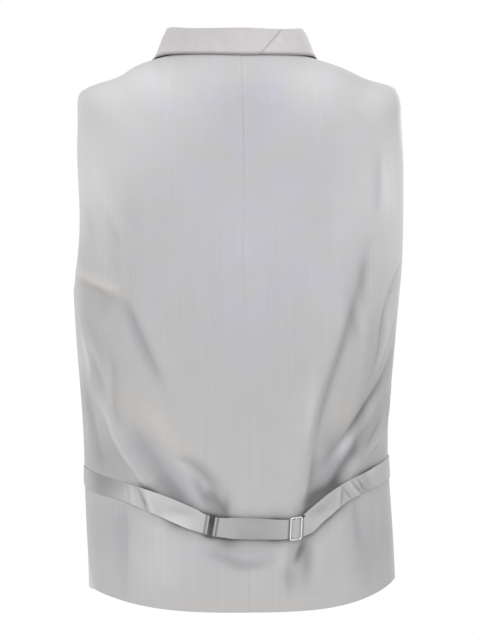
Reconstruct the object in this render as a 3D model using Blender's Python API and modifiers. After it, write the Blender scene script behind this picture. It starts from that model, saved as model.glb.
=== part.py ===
"""A suit waistcoat, hollow as it is worn, built from its own cut pieces.

Two satin backs meet at a centre seam, two suiting fronts button left over right, and a
shawl collar runs round the neck and down both sides of the V.  A strap of the back
cloth crosses the waist through a wire ring and a wire slider, each with a middle bar.

The wearer faces -Y and +Z is up.  The origin is the middle of the neck, level with the
inner ends of the shoulder seams.  Every size below is in millimetres.

One smooth figure carries all the cloth.  A place on it has an angle, which is 0 at the
centre of the back, 90 at the wearer's left side and 180 at the centre of the front
(negative on the wearer's right), and a level, which is the distance up the side and then
in along the shoulder.
"""

from collections import namedtuple
from math import pi

import bmesh
import bpy
import numpy as np
from mathutils import Matrix, Vector

MM = 0.001

# ---- the figure ---------------------------------------------------------------------

BASE_Z = -660.0  # height of level 0, below every hem
UNDERARM_LEVEL = 392.0  # sections are flat, and level = z - BASE_Z, up to about here
TIP_LEVEL = 608.0  # outer end of the shoulder seam
NECK_LEVEL = 717.0  # inner end of the shoulder seam
SQUARENESS = 2.4  # 2 is an ellipse; more is boxier

# middle_x is how far the section sways from the centre line as the cloth hangs.
Section = namedtuple(
    "Section", "level half_width middle_x side_y side_z back_y back_z front_y front_z"
)
SECTIONS = (
    Section(0, 174, -7, 2, -660, 116, -660, -106, -660),
    Section(70, 173.5, -6, 2, -590, 112, -590, -107, -590),
    Section(160, 173, -1.5, 2, -500, 105, -500, -108, -500),
    Section(230, 172.5, 1, 2, -430, 102, -430, -109, -430),
    Section(300, 177.5, 1, 2, -360, 106, -360, -113, -360),
    Section(390, 184.5, 0, 2, -270, 115, -272, -120, -278),
    Section(470, 189.5, -2, 2, -190, 121, -212, -121, -228),
    Section(550, 189.5, -1, 3, -102, 120, -150, -110, -172),
    Section(585, 185.5, -2, 4, -64, 116, -119, -102, -140),
    Section(TIP_LEVEL, 180, -3.5, 4, -39, 110, -94, -94, -117),
    Section(637, 147.5, -6, 3, -27, 101, -69, -87, -98),
    Section(667, 122.5, -3, 3, -15, 90, -45, -77, -80),
    Section(NECK_LEVEL, 77, 0, 0, 0, 68, -1, -60, -52),
)

# ---- the cut ------------------------------------------------------------------------

BACK_WALL = 1.6  # satin and its lining
FRONT_WALL = 2.2  # suiting, canvas and lining
COLLAR_WALL = 1.6
STRAP_WALL = 1.0
SEAM_GAP = 0.4  # between pieces that are sewn edge to edge
COLLAR_GAP = 1.0  # between the collar's foot and the neckline, which meet at an angle
LAY_GAP = 0.35  # between a piece and what it lies on

ARMHOLE_BACK_SCOOP = 22.0  # degrees that the armhole takes out of the back
ARMHOLE_FRONT_SCOOP = 37.0  # and out of the front
ARMHOLE_ROUNDNESS = 0.62  # under 1 makes the armhole's sides straighter

HEM_BACK_Z = -619.5
HEM_SIDE_Z = {"left": -600.0, "right": -591.5}  # the cloth hangs lower on the left
HEM_SIDE_ACROSS = 169.0
HEM_CURVE = 3.2  # how late the back hem rises to the side
HEM_POINT_Z = -636.0  # lowest point of each front
HEM_POINT_ACROSS = 52.0
HEM_EDGE_Z = -584.0  # where the front edge starts to slope away
STRAIGHT_Z = -500.0  # rows of the grid are level above this
SIDE_SEAM_TURN_Z = -528.0  # below this the side seam swings to the back
SIDE_SEAM_TURN_LENGTH = 64.0
SIDE_SEAM_TURN = 16.0  # degrees

OVERLAP = 15.0  # how far each front passes the centre line
FRONT_RAISE = FRONT_WALL + SEAM_GAP  # the left front lies this far over the right
RAISE_START, RAISE_FULL = 160.0, 172.0  # degrees

# The centre back seam, which the strap pulls to the right: x at each level.
Seam = namedtuple("Seam", "level x")
CENTRE_SEAM = (
    Seam(0, -3.0),
    Seam(60, -3.5),
    Seam(160, -4.8),
    Seam(260, -3.3),
    Seam(360, 0.5),
    Seam(450, 4.2),
    Seam(550, 3.8),
    Seam(NECK_LEVEL, 1.3),
)

# The V of the left front: how far its edge is from the centre line at each level.
Edge = namedtuple("Edge", "level across")
V_EDGE = (
    Edge(365, -OVERLAP),
    Edge(390, -5),
    Edge(470, 26),
    Edge(550, 48),
    Edge(TIP_LEVEL, 61),
    Edge(667, 70),
    Edge(700, 79),
    Edge(NECK_LEVEL, 76.6),
)

# ---- the creases --------------------------------------------------------------------

# Soft folds that run from the strap up to the armholes.  A path is a list of places
# (across from the centre line, height); height is how far the cloth stands out.
Fold = namedtuple("Fold", "name height width path")
BACK_FOLDS = (
    Fold("left_blade_trough", -4.5, 8, ((135, -273), (126, -295), (110, -330), (97, -357), (89, -376))),
    Fold("left_blade_ridge", 3.0, 12, ((120, -277), (100, -323), (84, -365), (72, -395))),
    Fold("left_armhole_ridge", 3.5, 7, ((183, -248), (169, -254), (148, -265), (135, -274))),
    Fold("left_armhole_trough", -2.5, 12, ((160, -180), (152, -222), (140, -254))),
    Fold("left_upper_ridge", 3.5, 7, ((181, -288), (166, -328), (153, -359), (144, -390))),
    Fold("left_side_ridge", 4.2, 8, ((178, -322), (157, -390), (138, -434), (121, -462), (108, -480))),
    Fold("left_side_trough", -3.5, 7, ((151, -322), (145, -354), (142, -400), (134, -430))),
    Fold("left_outer_trough", -3.0, 10, ((172, -378), (165, -410), (157, -446))),
    Fold("left_waist_trough", -6.0, 12, ((126, -416), (110, -442), (87, -477), (62, -502))),
    Fold("left_pull_ridge", 5.0, 11, ((108, -400), (84, -433), (66, -460), (54, -497))),
    Fold("left_pull_trough", -5.5, 7, ((76, -449), (61, -455), (44, -470), (31, -488), (19, -507))),
    Fold("left_inner_trough", -3.0, 7, ((57, -466), (48, -486), (40, -506))),
    Fold("right_blade_trough", -5.8, 9, ((-136, -222), (-129, -266), (-115, -319), (-100, -363),
                                         (-87, -407), (-76, -455), (-65, -508))),
    Fold("right_blade_ridge", 3.0, 13, ((-112, -285), (-94, -340), (-72, -395), (-58, -450), (-44, -500))),
    Fold("right_mid_ridge", 4.0, 12, ((-148, -272), (-137, -310), (-119, -377), (-102, -420), (-84, -458))),
    Fold("right_side_trough", -4.4, 8, ((-175, -322), (-167, -353), (-152, -379), (-133, -406),
                                        (-110, -432), (-85, -460))),
    Fold("right_upper_trough", -3.5, 7, ((-180, -230), (-170, -263), (-159, -306), (-156, -335), (-140, -374))),
    Fold("right_edge_ridge", 3.0, 7, ((-172, -272), (-164, -318), (-155, -348), (-144, -366))),
    Fold("right_side_ridge", 4.0, 9, ((-173, -380), (-160, -421), (-142, -450))),
    Fold("right_low_trough", -4.0, 8, ((-131, -424), (-126, -444), (-108, -467), (-94, -486))),
    Fold("right_strap_ridge", 3.0, 7, ((-118, -434), (-103, -450), (-91, -467), (-78, -487))),
    Fold("right_armhole_trough", -3.0, 9, ((-152, -112), (-154, -140), (-147, -188))),
    Fold("left_skirt_trough", -3.5, 12, ((144, -514), (146, -558), (148, -600))),
    Fold("left_skirt_ridge", 3.0, 14, ((104, -518), (98, -560), (94, -606))),
    Fold("centre_skirt_smile", -4.0, 11, ((50, -552), (26, -564), (2, -571), (-28, -564))),
    Fold("right_skirt_trough", -5.0, 9, ((-58, -545), (-46, -564), (-41, -600))),
    Fold("right_skirt_ridge", 3.5, 13, ((-84, -540), (-74, -570), (-70, -604))),
    Fold("right_skirt_side_trough", -2.8, 11, ((-124, -500), (-126, -530), (-130, -566))),
)
FRONT_FOLDS = (
    Fold("left_chest_trough", -4.0, 12, ((150, -278), (120, -320), (92, -372))),
    Fold("left_waist_ridge", 3.5, 12, ((154, -420), (112, -440), (60, -446))),
    Fold("left_skirt_trough", -3.0, 13, ((128, -500), (116, -548), (110, -600))),
    Fold("right_chest_trough", -4.0, 12, ((-152, -285), (-118, -330), (-95, -384))),
    Fold("right_waist_ridge", 3.5, 12, ((-150, -430), (-108, -446), (-58, -452))),
    Fold("right_skirt_trough", -3.0, 13, ((-134, -508), (-120, -556), (-108, -604))),
)
STRAP_FLAT = 20.0  # within this distance of the strap's middle it presses every ridge flat
STRAP_PRESS = 12.0  # and over this much more they come back

# ---- the collar ---------------------------------------------------------------------

# At each distance from the centre of the back along the neckline: the height of the
# stand, how far over the body cloth the fall reaches, and how far its edge is held off.
CollarStation = namedtuple("CollarStation", "along stand reach clear upright bulge")
COLLAR = (
    CollarStation(0, 25.5, 5, 1.4, 1.0, 1.6),
    CollarStation(60, 26.5, 5, 1.4, 1.0, 1.8),
    CollarStation(95, 30.5, 9, 1.1, 1.0, 2.6),
    CollarStation(118, 29.5, 15, 0.9, 1.0, 2.8),
    CollarStation(145, 21.0, 28, 0.7, 0.8, 2.2),
    CollarStation(180, 11.0, 42, 0.7, 0.45, 1.6),
    CollarStation(230, 4.0, 48, 0.7, 0.1, 1.6),
    CollarStation(300, 2.6, 47, 0.7, 0.0, 1.6),
    CollarStation(370, 2.6, 33, 0.7, 0.0, 1.6),
    CollarStation(450, 2.6, 6, 0.7, 0.0, 1.6),
)
FOLD_RADIUS = 1.5  # of the collar's roll
COLLAR_LEAN_OUT, COLLAR_LEAN_FORWARD = 0.08, 0.10  # of the stand, for each mm of height
COLLAR_FALL_CURVE = 1.7  # over 1 drops the fall steeply from the roll, then flares it
COLLAR_SEAM_AT_FOLD = -45.0  # the slanting join, right of the centre of the back
COLLAR_SEAM_AT_EDGE = -19.0
LEFT_LAPEL_END = 438.0  # distance from the centre of the back
RIGHT_LAPEL_END = 427.0  # where the left front crosses over it
RIGHT_LAPEL_SLANT = 4.0  # how much sooner its outer edge ends

# ---- the strap and its hardware -----------------------------------------------------

# The strap's centre line across the back, from the left side seam to the right one.
StrapStation = namedtuple("StrapStation", "across height width")
STRAP = (
    StrapStation(173, -473, 21),
    StrapStation(153, -483, 21),
    StrapStation(132, -489, 20),
    StrapStation(115, -495, 22),
    StrapStation(94, -503, 23),
    StrapStation(62, -517, 23),
    StrapStation(41, -525, 22),
    StrapStation(20, -527.5, 23),
    StrapStation(-10, -528.5, 23),
    StrapStation(-38, -529.5, 22),
    StrapStation(-52, -528.7, 22),
    StrapStation(-62, -526.5, 20),
    StrapStation(-72, -518.5, 19),
    StrapStation(-84, -509, 19),
    StrapStation(-98, -498.5, 19),
    StrapStation(-127, -483, 20),
    StrapStation(-154, -472, 22),
    StrapStation(-173, -463, 23),
)

# The two wire pieces.  lean is how far a long bar's top leans to the wearer's right.
Wire = namedtuple("Wire", "across length height wire lean")
RING = Wire(41.0, 11.5, 26.0, 1.5, 11.0)
SLIDER = Wire(-52.0, 14.0, 25.5, 1.8, 5.5)
CORNER_RADIUS = 1.8
PINCH_WIDTH = 21.0  # the strap's width inside the hardware
PINCH_LENGTH = 8.0
TAIL_LENGTH = 24.0  # of the left strap, turned back under itself
STRAP_END_GAP = 1.0  # between the strap's ends and the side seams

# ---- the buttons --------------------------------------------------------------------

BUTTON_HEIGHTS = (-312, -372, -432, -492, -552)
BUTTON_RADIUS = 8.0
BUTTON_THICKNESS = 2.8
BUTTON_RIM = 1.6
BUTTON_DISH = 0.9
BUTTON_HOLE_RADIUS = 0.8
BUTTON_HOLE_SPACING = 3.0
BUTTON_LIFT = 0.5


# ---- small helpers ------------------------------------------------------------------

def columns_of(table):
    """The table's columns as arrays, by name."""
    return {name: np.array(values, float) for name, values in zip(table[0]._fields, zip(*table))}


def spline(knots, values, at):
    """The natural cubic curve through the values at the knots, read at the given places.

    Between two knots g apart, t and g - t from them, the curve is
    (b0 (g - t)^3 + b1 t^3) / 6g + (v0 / g - b0 g / 6)(g - t) + (v1 / g - b1 g / 6) t,
    where the bends b make its slope run on through every knot.
    """
    knots, values, at = (np.asarray(v, float) for v in (knots, values, at))
    gaps = np.diff(knots)
    slopes = np.diff(values) / gaps
    system = np.eye(len(knots))
    wanted = np.zeros(len(knots))
    for k in range(1, len(knots) - 1):
        system[k, k - 1 : k + 2] = gaps[k - 1], 2 * (gaps[k - 1] + gaps[k]), gaps[k]
        wanted[k] = 6 * (slopes[k] - slopes[k - 1])
    bend = np.linalg.solve(system, wanted)
    i = np.clip(np.searchsorted(knots, at) - 1, 0, len(knots) - 2)
    gap, t = gaps[i], at - knots[i]
    rest = gap - t
    return (
        (bend[i] * rest**3 + bend[i + 1] * t**3) / (6 * gap)
        + (values[i] / gap - bend[i] * gap / 6) * rest
        + (values[i + 1] / gap - bend[i + 1] * gap / 6) * t
    )


def smooth_step(value, start, full):
    """0 before start, 1 after full, and a smooth rise between them."""
    t = np.clip((np.asarray(value, float) - start) / (full - start), 0, 1)
    return t * t * (3 - 2 * t)


def unit(vectors):
    return vectors / np.linalg.norm(vectors, axis=-1, keepdims=True)


# ---- the figure ---------------------------------------------------------------------

SECTION_COLUMNS = columns_of(SECTIONS)


def section(name, level):
    return spline(SECTION_COLUMNS["level"], SECTION_COLUMNS[name], level)


def rounded_square(angle):
    """Sine and cosine of the angle, pushed out onto a squared-off circle."""
    sine, cosine = np.sin(np.radians(angle)), np.cos(np.radians(angle))
    reach = (np.abs(sine) ** SQUARENESS + np.abs(cosine) ** SQUARENESS) ** (-1 / SQUARENESS)
    return sine * reach, cosine * reach


def figure(angle, level):
    """The smooth figure's point at this angle and level."""
    angle, level = np.broadcast_arrays(np.asarray(angle, float), np.asarray(level, float))
    sine, cosine = rounded_square(angle)
    on_back = cosine > 0
    side_y, side_z = section("side_y", level), section("side_z", level)
    end_y = np.where(on_back, section("back_y", level), section("front_y", level))
    end_z = np.where(on_back, section("back_z", level), section("front_z", level))
    return np.stack(
        (
            section("middle_x", level) + section("half_width", level) * sine,
            side_y + (end_y - side_y) * np.abs(cosine),
            side_z + (end_z - side_z) * cosine**2,
        ),
        axis=-1,
    )


def slopes_of_figure(angle, level):
    """How the figure's point moves with one degree of angle, and with one unit of level."""
    angle, level = np.broadcast_arrays(np.asarray(angle, float), np.asarray(level, float))
    step = 0.25
    by_angle = (figure(angle + step, level) - figure(angle - step, level)) / (2 * step)
    by_level = (figure(angle, level + step) - figure(angle, level - step)) / (2 * step)
    return by_angle, by_level


def outward(angle, level):
    """The figure's unit normal."""
    by_angle, by_level = slopes_of_figure(angle, level)
    return unit(np.cross(by_level, by_angle))


def angle_at(across, level, on_back):
    """The angle whose point on this section is that far across from the centre line."""
    sine = np.clip(np.asarray(across, float) / section("half_width", level), -1, 1)
    cosine = (1 - np.abs(sine) ** SQUARENESS) ** (1 / SQUARENESS)
    if on_back:
        return np.degrees(np.arctan2(sine, cosine))
    return 180 - np.degrees(np.arctan2(sine, cosine))


def level_of(height):
    """The level of a height below the underarm, where the sections are flat."""
    return np.asarray(height, float) - BASE_Z


# ---- creases ------------------------------------------------------------------------

MM_PER_DEGREE = 2.6  # round the body, near enough to measure creases with
PATH_STEPS = 20


def distance_to_path(places, path):
    """Distance from each place to a broken line, and how far along the line that is (0 to 1)."""
    nearest = np.full(places.shape[:-1], np.inf)
    along = np.zeros(places.shape[:-1])
    parts = len(path) - 1
    for k in range(parts):
        start, run = path[k], path[k + 1] - path[k]
        share = np.clip(((places - start) @ run) / (run @ run), 0, 1)
        distance = np.linalg.norm(places - (start + share[..., None] * run), axis=-1)
        closer = distance < nearest
        nearest = np.where(closer, distance, nearest)
        along = np.where(closer, (k + share) / parts, along)
    return nearest, along


def smooth_path(places):
    """A smooth line of PATH_STEPS parts through a few places."""
    places = np.array(places, float)
    knots = np.arange(len(places), dtype=float)
    at = np.linspace(0, len(places) - 1, PATH_STEPS + 1)
    return np.stack([spline(knots, places[:, k], at) for k in range(2)], axis=-1)


def unrolled_path(path, on_back):
    """A path of (across, height) as (millimetres round the body, height)."""
    line = smooth_path(path)
    level = np.minimum(level_of(line[:, 1]), TIP_LEVEL)
    angle = angle_at(line[:, 0], level, on_back)
    if not on_back:
        angle = np.where(angle > 180, angle - 360, angle)
    return np.stack((angle * MM_PER_DEGREE, line[:, 1]), axis=-1)


STRAP_LINE = unrolled_path([(s.across, s.height) for s in STRAP], True)
FOLD_LINES = [(fold, unrolled_path(fold.path, True)) for fold in BACK_FOLDS]
FOLD_LINES += [
    (fold, unrolled_path([(abs(x), z) for x, z in fold.path], False) * (np.sign(fold.path[0][0]), 1))
    for fold in FRONT_FOLDS
]


def crease(angle, level):
    """How far the creases move the cloth out from the figure."""
    angle, level = np.broadcast_arrays(np.asarray(angle, float), np.asarray(level, float))
    height = figure(angle, level)[..., 2]
    places = np.stack((angle * MM_PER_DEGREE, height), axis=-1)
    moved = np.zeros(angle.shape)
    for fold, line in FOLD_LINES:
        distance, along = distance_to_path(places, line)
        fade = np.sin(pi * np.clip(along, 0.04, 0.96)) ** 0.7
        moved += fold.height * np.exp(-((distance / fold.width) ** 2)) * fade
    to_strap, _ = distance_to_path(places, STRAP_LINE)
    free = smooth_step(to_strap, STRAP_FLAT, STRAP_FLAT + STRAP_PRESS)
    return np.minimum(moved, 0) + np.maximum(moved, 0) * free


def front_raise(angle):
    """How far the left front is lifted to lie over the right one."""
    return FRONT_RAISE * smooth_step(angle, RAISE_START, RAISE_FULL)


def cloth(angle, level, lift=0.0):
    """The outer face of the body cloth, moved out by lift."""
    out = crease(angle, level) + front_raise(angle) + lift
    return figure(angle, level) + outward(angle, level) * np.asarray(out)[..., None]


# ---- making solids ------------------------------------------------------------------

def new_material(name, colour, roughness, metallic=0.0):
    material = bpy.data.materials.new(name)
    material.use_nodes = True
    shader = material.node_tree.nodes["Principled BSDF"]
    shader.inputs["Base Color"].default_value = (*colour, 1)
    shader.inputs["Roughness"].default_value = roughness
    shader.inputs["Metallic"].default_value = metallic
    return material


def finish_object(obj, material, collection):
    obj.data.materials.append(material)
    if obj.name not in collection.objects:
        collection.objects.link(obj)
    return obj


def sheet_of_cloth(name, grid, wall, offset, material, collection):
    """An open surface through a grid of points in millimetres, thickened by Solidify."""
    rows, columns = grid.shape[:2]
    index = np.arange(rows * columns).reshape(rows, columns)
    faces = np.stack((index[:-1, :-1], index[:-1, 1:], index[1:, 1:], index[1:, :-1]), axis=-1)
    mesh = bpy.data.meshes.new(name)
    mesh.from_pydata((grid.reshape(-1, 3) * MM).tolist(), [], faces.reshape(-1, 4).tolist())
    mesh.shade_smooth()
    obj = finish_object(bpy.data.objects.new(name, mesh), material, collection)
    solidify = obj.modifiers.new("wall", "SOLIDIFY")
    solidify.thickness = wall * MM
    solidify.offset = offset
    return obj


# ---- the body panels ----------------------------------------------------------------

LOWER_ROWS, WAIST_ROWS, ARMHOLE_ROWS, SHOULDER_ROWS = 5, 12, 10, 8
SHOULDER_EASE = 1.3  # over 1 draws the rows together towards the neck
BACK_COLUMNS, FRONT_COLUMNS = 26, 13


def row_heights():
    """Each row's share of the way from the hem to STRAIGHT_Z, and its level above that."""
    shares = np.linspace(0, 1, LOWER_ROWS, endpoint=False)
    waist = np.linspace(level_of(STRAIGHT_Z), UNDERARM_LEVEL, WAIST_ROWS, endpoint=False)
    turn = np.linspace(0, pi, ARMHOLE_ROWS, endpoint=False)
    middle, reach = (TIP_LEVEL + UNDERARM_LEVEL) / 2, (TIP_LEVEL - UNDERARM_LEVEL) / 2
    armhole = middle - reach * np.cos(turn)
    shoulder = NECK_LEVEL - (NECK_LEVEL - TIP_LEVEL) * np.linspace(1, 0, SHOULDER_ROWS + 1) ** SHOULDER_EASE
    return shares, np.concatenate((waist, armhole, shoulder))


def half_seam(angle, level):
    """Half the seam gap, in degrees, at a side or shoulder seam."""
    by_angle, _ = slopes_of_figure(angle, level)
    return SEAM_GAP / 2 / np.linalg.norm(by_angle, axis=-1)


def seam_slant(level, angle):
    """How much longer the gap has to be, sideways, where the seam slants."""
    return np.minimum(np.hypot(1, np.gradient(angle, level) * MM_PER_DEGREE), 2.2)


def side_angle(height, level, scoop):
    """Where a panel ends at the side: the side seam, the armhole or the shoulder seam."""
    drop = np.clip((SIDE_SEAM_TURN_Z - height) / SIDE_SEAM_TURN_LENGTH, 0, 1.3)
    seam = 90 - SIDE_SEAM_TURN * drop**1.5
    middle, reach = (TIP_LEVEL + UNDERARM_LEVEL) / 2, (TIP_LEVEL - UNDERARM_LEVEL) / 2
    turn = np.clip((level - middle) / reach, -1, 1)
    return seam - scoop * (1 - turn**2) ** ARMHOLE_ROUNDNESS


def back_hem(across, side_z):
    return HEM_BACK_Z + (side_z - HEM_BACK_Z) * (np.abs(across) / HEM_SIDE_ACROSS) ** HEM_CURVE


def front_hem(across, side_z):
    """A front's hem: down in a curve to its point, then straight up to the edge."""
    from_side = np.clip((HEM_SIDE_ACROSS - across) / (HEM_SIDE_ACROSS - HEM_POINT_ACROSS), 0, 1)
    curved = side_z + (HEM_POINT_Z - side_z) * from_side**1.7
    to_edge = (HEM_POINT_ACROSS - across) / (HEM_POINT_ACROSS + OVERLAP)
    straight = HEM_POINT_Z + (HEM_EDGE_Z - HEM_POINT_Z) * to_edge
    return np.where(across > HEM_POINT_ACROSS, curved, straight)


def column_shares(start, end, columns):
    """Equal steps from 0 to 1, moved a little so that one falls on a front's hem point."""
    shares = np.linspace(0, 1, columns + 1)
    if end < 90:
        return shares
    point = angle_at(HEM_POINT_ACROSS, level_of(HEM_POINT_Z), False)
    point_share = (point - start) / (end - start)
    nearest = round(point_share * columns) / columns
    return np.interp(shares, (0, nearest, 1), (0, point_share, 1))


def panel_places(side, scoop, inner_angle, hem, columns, side_z):
    """A panel's angles and levels from its side to its inner edge, as if it were on the left."""
    shares, levels = row_heights()
    side_heights = side_z + shares * (STRAIGHT_Z - side_z)
    side_levels = np.concatenate((level_of(side_heights), levels))
    heights = np.minimum(figure(90, side_levels)[:, 2], 0)
    start = side_angle(heights, side_levels, scoop)
    end = inner_angle(side_levels, side)
    gap = half_seam(start, side_levels) * seam_slant(side_levels, start)
    start = start + np.sign(end - start) * gap
    across_share = column_shares(start[0], end[0], columns)
    angle = start[:, None] + (end - start)[:, None] * across_share
    level = np.repeat(side_levels[:, None], columns + 1, axis=1)
    for row, share in enumerate(shares):
        across = section("half_width", side_levels[row]) * rounded_square(angle[row])[0]
        hem_level = level_of(hem(across, side_z))
        level[row] = hem_level + share * (level_of(STRAIGHT_Z) - hem_level)
    return angle, level


SEAM_COLUMNS = columns_of(CENTRE_SEAM)
V_COLUMNS = columns_of(V_EDGE)


def back_inner_angle(level, side):
    """A back panel's edge: half the seam's gap from the centre back seam."""
    x = spline(SEAM_COLUMNS["level"], SEAM_COLUMNS["x"], level)
    across = side * (x - section("middle_x", level)) + SEAM_GAP / 2
    return np.sign(across) * angle_at(np.abs(across), level, True)


def front_inner_angle(level, side=1):
    """A front panel's edge: the buttoned edge, then the V up to the shoulder."""
    across = spline(V_COLUMNS["level"], V_COLUMNS["across"], np.maximum(level, V_EDGE[0].level))
    return angle_at(across, level, False)


def make_panel(name, side, places, wall, material, collection):
    """side is 1 for the wearer's left and -1 for the right, whose angles are negative."""
    angle, level = places
    grid = cloth(side * angle, level)
    # A face points out when its columns run towards smaller angles.
    if side * (angle[0, -1] - angle[0, 0]) > 0:
        grid = grid[:, ::-1]
    return sheet_of_cloth(name, grid, wall, -1, material, collection)


# ---- the collar ---------------------------------------------------------------------

COLLAR_COLUMNS = columns_of(COLLAR)
NECKLINE_SAMPLES = 60


def neckline():
    """Angles, levels and distances of the left half of the neckline, from the centre back."""
    back_angle = np.linspace(0, 90, NECKLINE_SAMPLES, endpoint=False)
    front_level = np.linspace(NECK_LEVEL, V_EDGE[0].level, 2 * NECKLINE_SAMPLES)
    angle = np.concatenate((back_angle, front_inner_angle(front_level)))
    level = np.concatenate((np.full(NECKLINE_SAMPLES, NECK_LEVEL), front_level))
    steps = np.linalg.norm(np.diff(figure(angle, level), axis=0), axis=-1)
    return angle, level, np.concatenate(([0], np.cumsum(steps)))


NECK_ANGLES, NECK_LEVELS, NECK_DISTANCES = neckline()


def neck_place(along):
    """Angle and level on the neckline at this distance, negative on the wearer's right."""
    far = np.abs(along)
    side = np.where(along < 0, -1, 1)
    return (
        side * np.interp(far, NECK_DISTANCES, NECK_ANGLES),
        np.interp(far, NECK_DISTANCES, NECK_LEVELS),
    )


WALK_STEPS = 10


def walk_from_neckline(along, reach):
    """Places met on the way from the neckline into the cloth, at WALK_STEPS equal steps."""
    angle, level = neck_place(along)
    spacing = 2.0
    ahead, behind = neck_place(along + spacing), neck_place(along - spacing)
    tangent = unit(figure(*ahead) - figure(*behind))
    heading = unit(np.cross(outward(angle, level), tangent))
    places = [(angle, level, heading)]
    for _ in range(WALK_STEPS):
        normal = outward(angle, level)
        heading = unit(heading - (heading * normal).sum(-1, keepdims=True) * normal)
        by_angle, by_level = slopes_of_figure(angle, level)
        aa, al, ll = (by_angle**2).sum(-1), (by_angle * by_level).sum(-1), (by_level**2).sum(-1)
        ha, hl = (heading * by_angle).sum(-1), (heading * by_level).sum(-1)
        scale = reach / WALK_STEPS / (aa * ll - al**2)
        angle = angle + scale * (ha * ll - hl * al)
        level = level + scale * (hl * aa - ha * al)
        places.append((angle, level, heading))
    return places


def collar_grid(along):
    """The collar's middle surface: columns are the stand, the roll and the fall.

    along has a row for each station and a column for each point of the section.
    """
    stand, reach, clear, upright, bulge = (
        spline(COLLAR_COLUMNS["along"], COLLAR_COLUMNS[name], np.abs(along))
        for name in ("stand", "reach", "clear", "upright", "bulge")
    )
    places = walk_from_neckline(along, np.maximum(reach, 4))
    angle, level, heading = places[0]
    normal = outward(angle, level)
    aside = COLLAR_LEAN_OUT * np.sin(np.radians(angle))
    lean = np.stack((aside, np.full_like(aside, -COLLAR_LEAN_FORWARD), np.ones_like(aside)), axis=-1)
    up = unit(upright[..., None] * unit(lean) + (1 - upright)[..., None] * -heading)
    out = unit(normal - (normal * up).sum(-1, keepdims=True) * up)
    foot = figure(angle, level) + normal * (front_raise(angle) - FRONT_WALL / 2)[..., None]
    foot = foot - heading * (COLLAR_GAP + COLLAR_WALL / 2 * upright)[..., None]
    straight = np.maximum(stand - FOLD_RADIUS, 0.8)[..., None]
    columns = []
    for share in COLLAR_STAND_SHARES:
        columns.append(foot + up * straight * share)
    for turn in COLLAR_ROLL_TURNS:
        rise, side = FOLD_RADIUS * np.sin(turn), FOLD_RADIUS * (1 - np.cos(turn))
        columns.append(foot + up * (straight + rise) + out * side)
    fall_start = foot + up * straight + out * 2 * FOLD_RADIUS
    lying = [
        cloth(a, l, clear + COLLAR_WALL / 2) for a, l, _ in places
    ]
    for share in COLLAR_FALL_SHARES:
        step = share * WALK_STEPS
        low = min(int(step), WALK_STEPS - 1)
        on_cloth = lying[low] + (lying[low + 1] - lying[low]) * (step - low)
        swell = (bulge * upright * np.sin(pi * share**0.6))[..., None]
        rise = (1 - share) ** (1 + (COLLAR_FALL_CURVE - 1) * upright[..., None])
        columns.append(on_cloth + (fall_start - lying[0]) * rise + out * swell)
    return np.stack(columns)


COLLAR_STAND_SHARES = (0.0, 0.5, 1.0)
COLLAR_ROLL_TURNS = (pi * 0.25, pi * 0.5, pi * 0.75, pi)
COLLAR_FALL_SHARES = (0.15, 0.4, 0.7, 1.0)


def collar_points(start, slant, seam_side):
    """One collar piece, from its lapel's end to the slanting join behind the neck."""
    fall = np.array([0.0] * len(COLLAR_STAND_SHARES + COLLAR_ROLL_TURNS) + list(COLLAR_FALL_SHARES))
    ends = COLLAR_SEAM_AT_FOLD + (COLLAR_SEAM_AT_EDGE - COLLAR_SEAM_AT_FOLD) * fall
    ends = ends + seam_side * SEAM_GAP / 2
    starts = start + slant * fall
    share = np.linspace(0, 1, COLLAR_STATIONS + 1)
    columns = []
    for column, (first, last) in enumerate(zip(starts, ends)):
        columns.append(collar_grid(first + (last - first) * share)[column])
    return np.stack(columns, axis=1)


COLLAR_STATIONS = 28


# ---- the strap ----------------------------------------------------------------------

STRAP_SAMPLES = 200


def strap_centre_line():
    """Dense samples of the strap's centre line: distance along it, angle, height and width."""
    table = columns_of(STRAP)
    angle = angle_at(table["across"], level_of(table["height"]), True)
    steps = np.hypot(np.diff(angle) * MM_PER_DEGREE, np.diff(table["height"]))
    knots = np.concatenate(([0], np.cumsum(steps)))
    at = np.linspace(STRAP_END_GAP, knots[-1] - STRAP_END_GAP, STRAP_SAMPLES)
    angle, height, width = (spline(knots, v, at) for v in (angle, table["height"], table["width"]))
    points = figure(angle, level_of(height))
    steps = np.linalg.norm(np.diff(points, axis=0), axis=-1)
    across = section("half_width", level_of(height)) * rounded_square(angle)[0]
    return np.concatenate(([0], np.cumsum(steps))), across, angle, height, width


STRAP_ALONG, STRAP_ACROSS, STRAP_ANGLE, STRAP_HEIGHT, STRAP_WIDTH = strap_centre_line()
STRAP_SLOPE = np.arctan2(np.gradient(STRAP_HEIGHT), -np.gradient(STRAP_ANGLE) * MM_PER_DEGREE)
STRAP_END = float(STRAP_ALONG[-1])
RING_ALONG, SLIDER_ALONG = np.interp((-RING.across, -SLIDER.across), -STRAP_ACROSS, STRAP_ALONG)


def near_hardware(along, hardware_along):
    """1 inside a piece of hardware, 0 well away from it."""
    return 1 - smooth_step(np.abs(along - hardware_along), PINCH_LENGTH, 3 * PINCH_LENGTH)


def strap_place(along, sideways):
    """Angle and level at a distance along the strap and up from its centre line.

    The way up is square to the strap, but turns to the long bars of the hardware near them.
    """
    angle = np.interp(along, STRAP_ALONG, STRAP_ANGLE)
    height = np.interp(along, STRAP_ALONG, STRAP_HEIGHT)
    slope = np.interp(along, STRAP_ALONG, STRAP_SLOPE)
    for piece, middle in ((RING, RING_ALONG), (SLIDER, SLIDER_ALONG)):
        slope = slope + (np.radians(-piece.lean) - slope) * near_hardware(along, middle)
    return (
        angle + sideways * np.sin(slope) / MM_PER_DEGREE,
        level_of(height + sideways * np.cos(slope)),
    )


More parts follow.
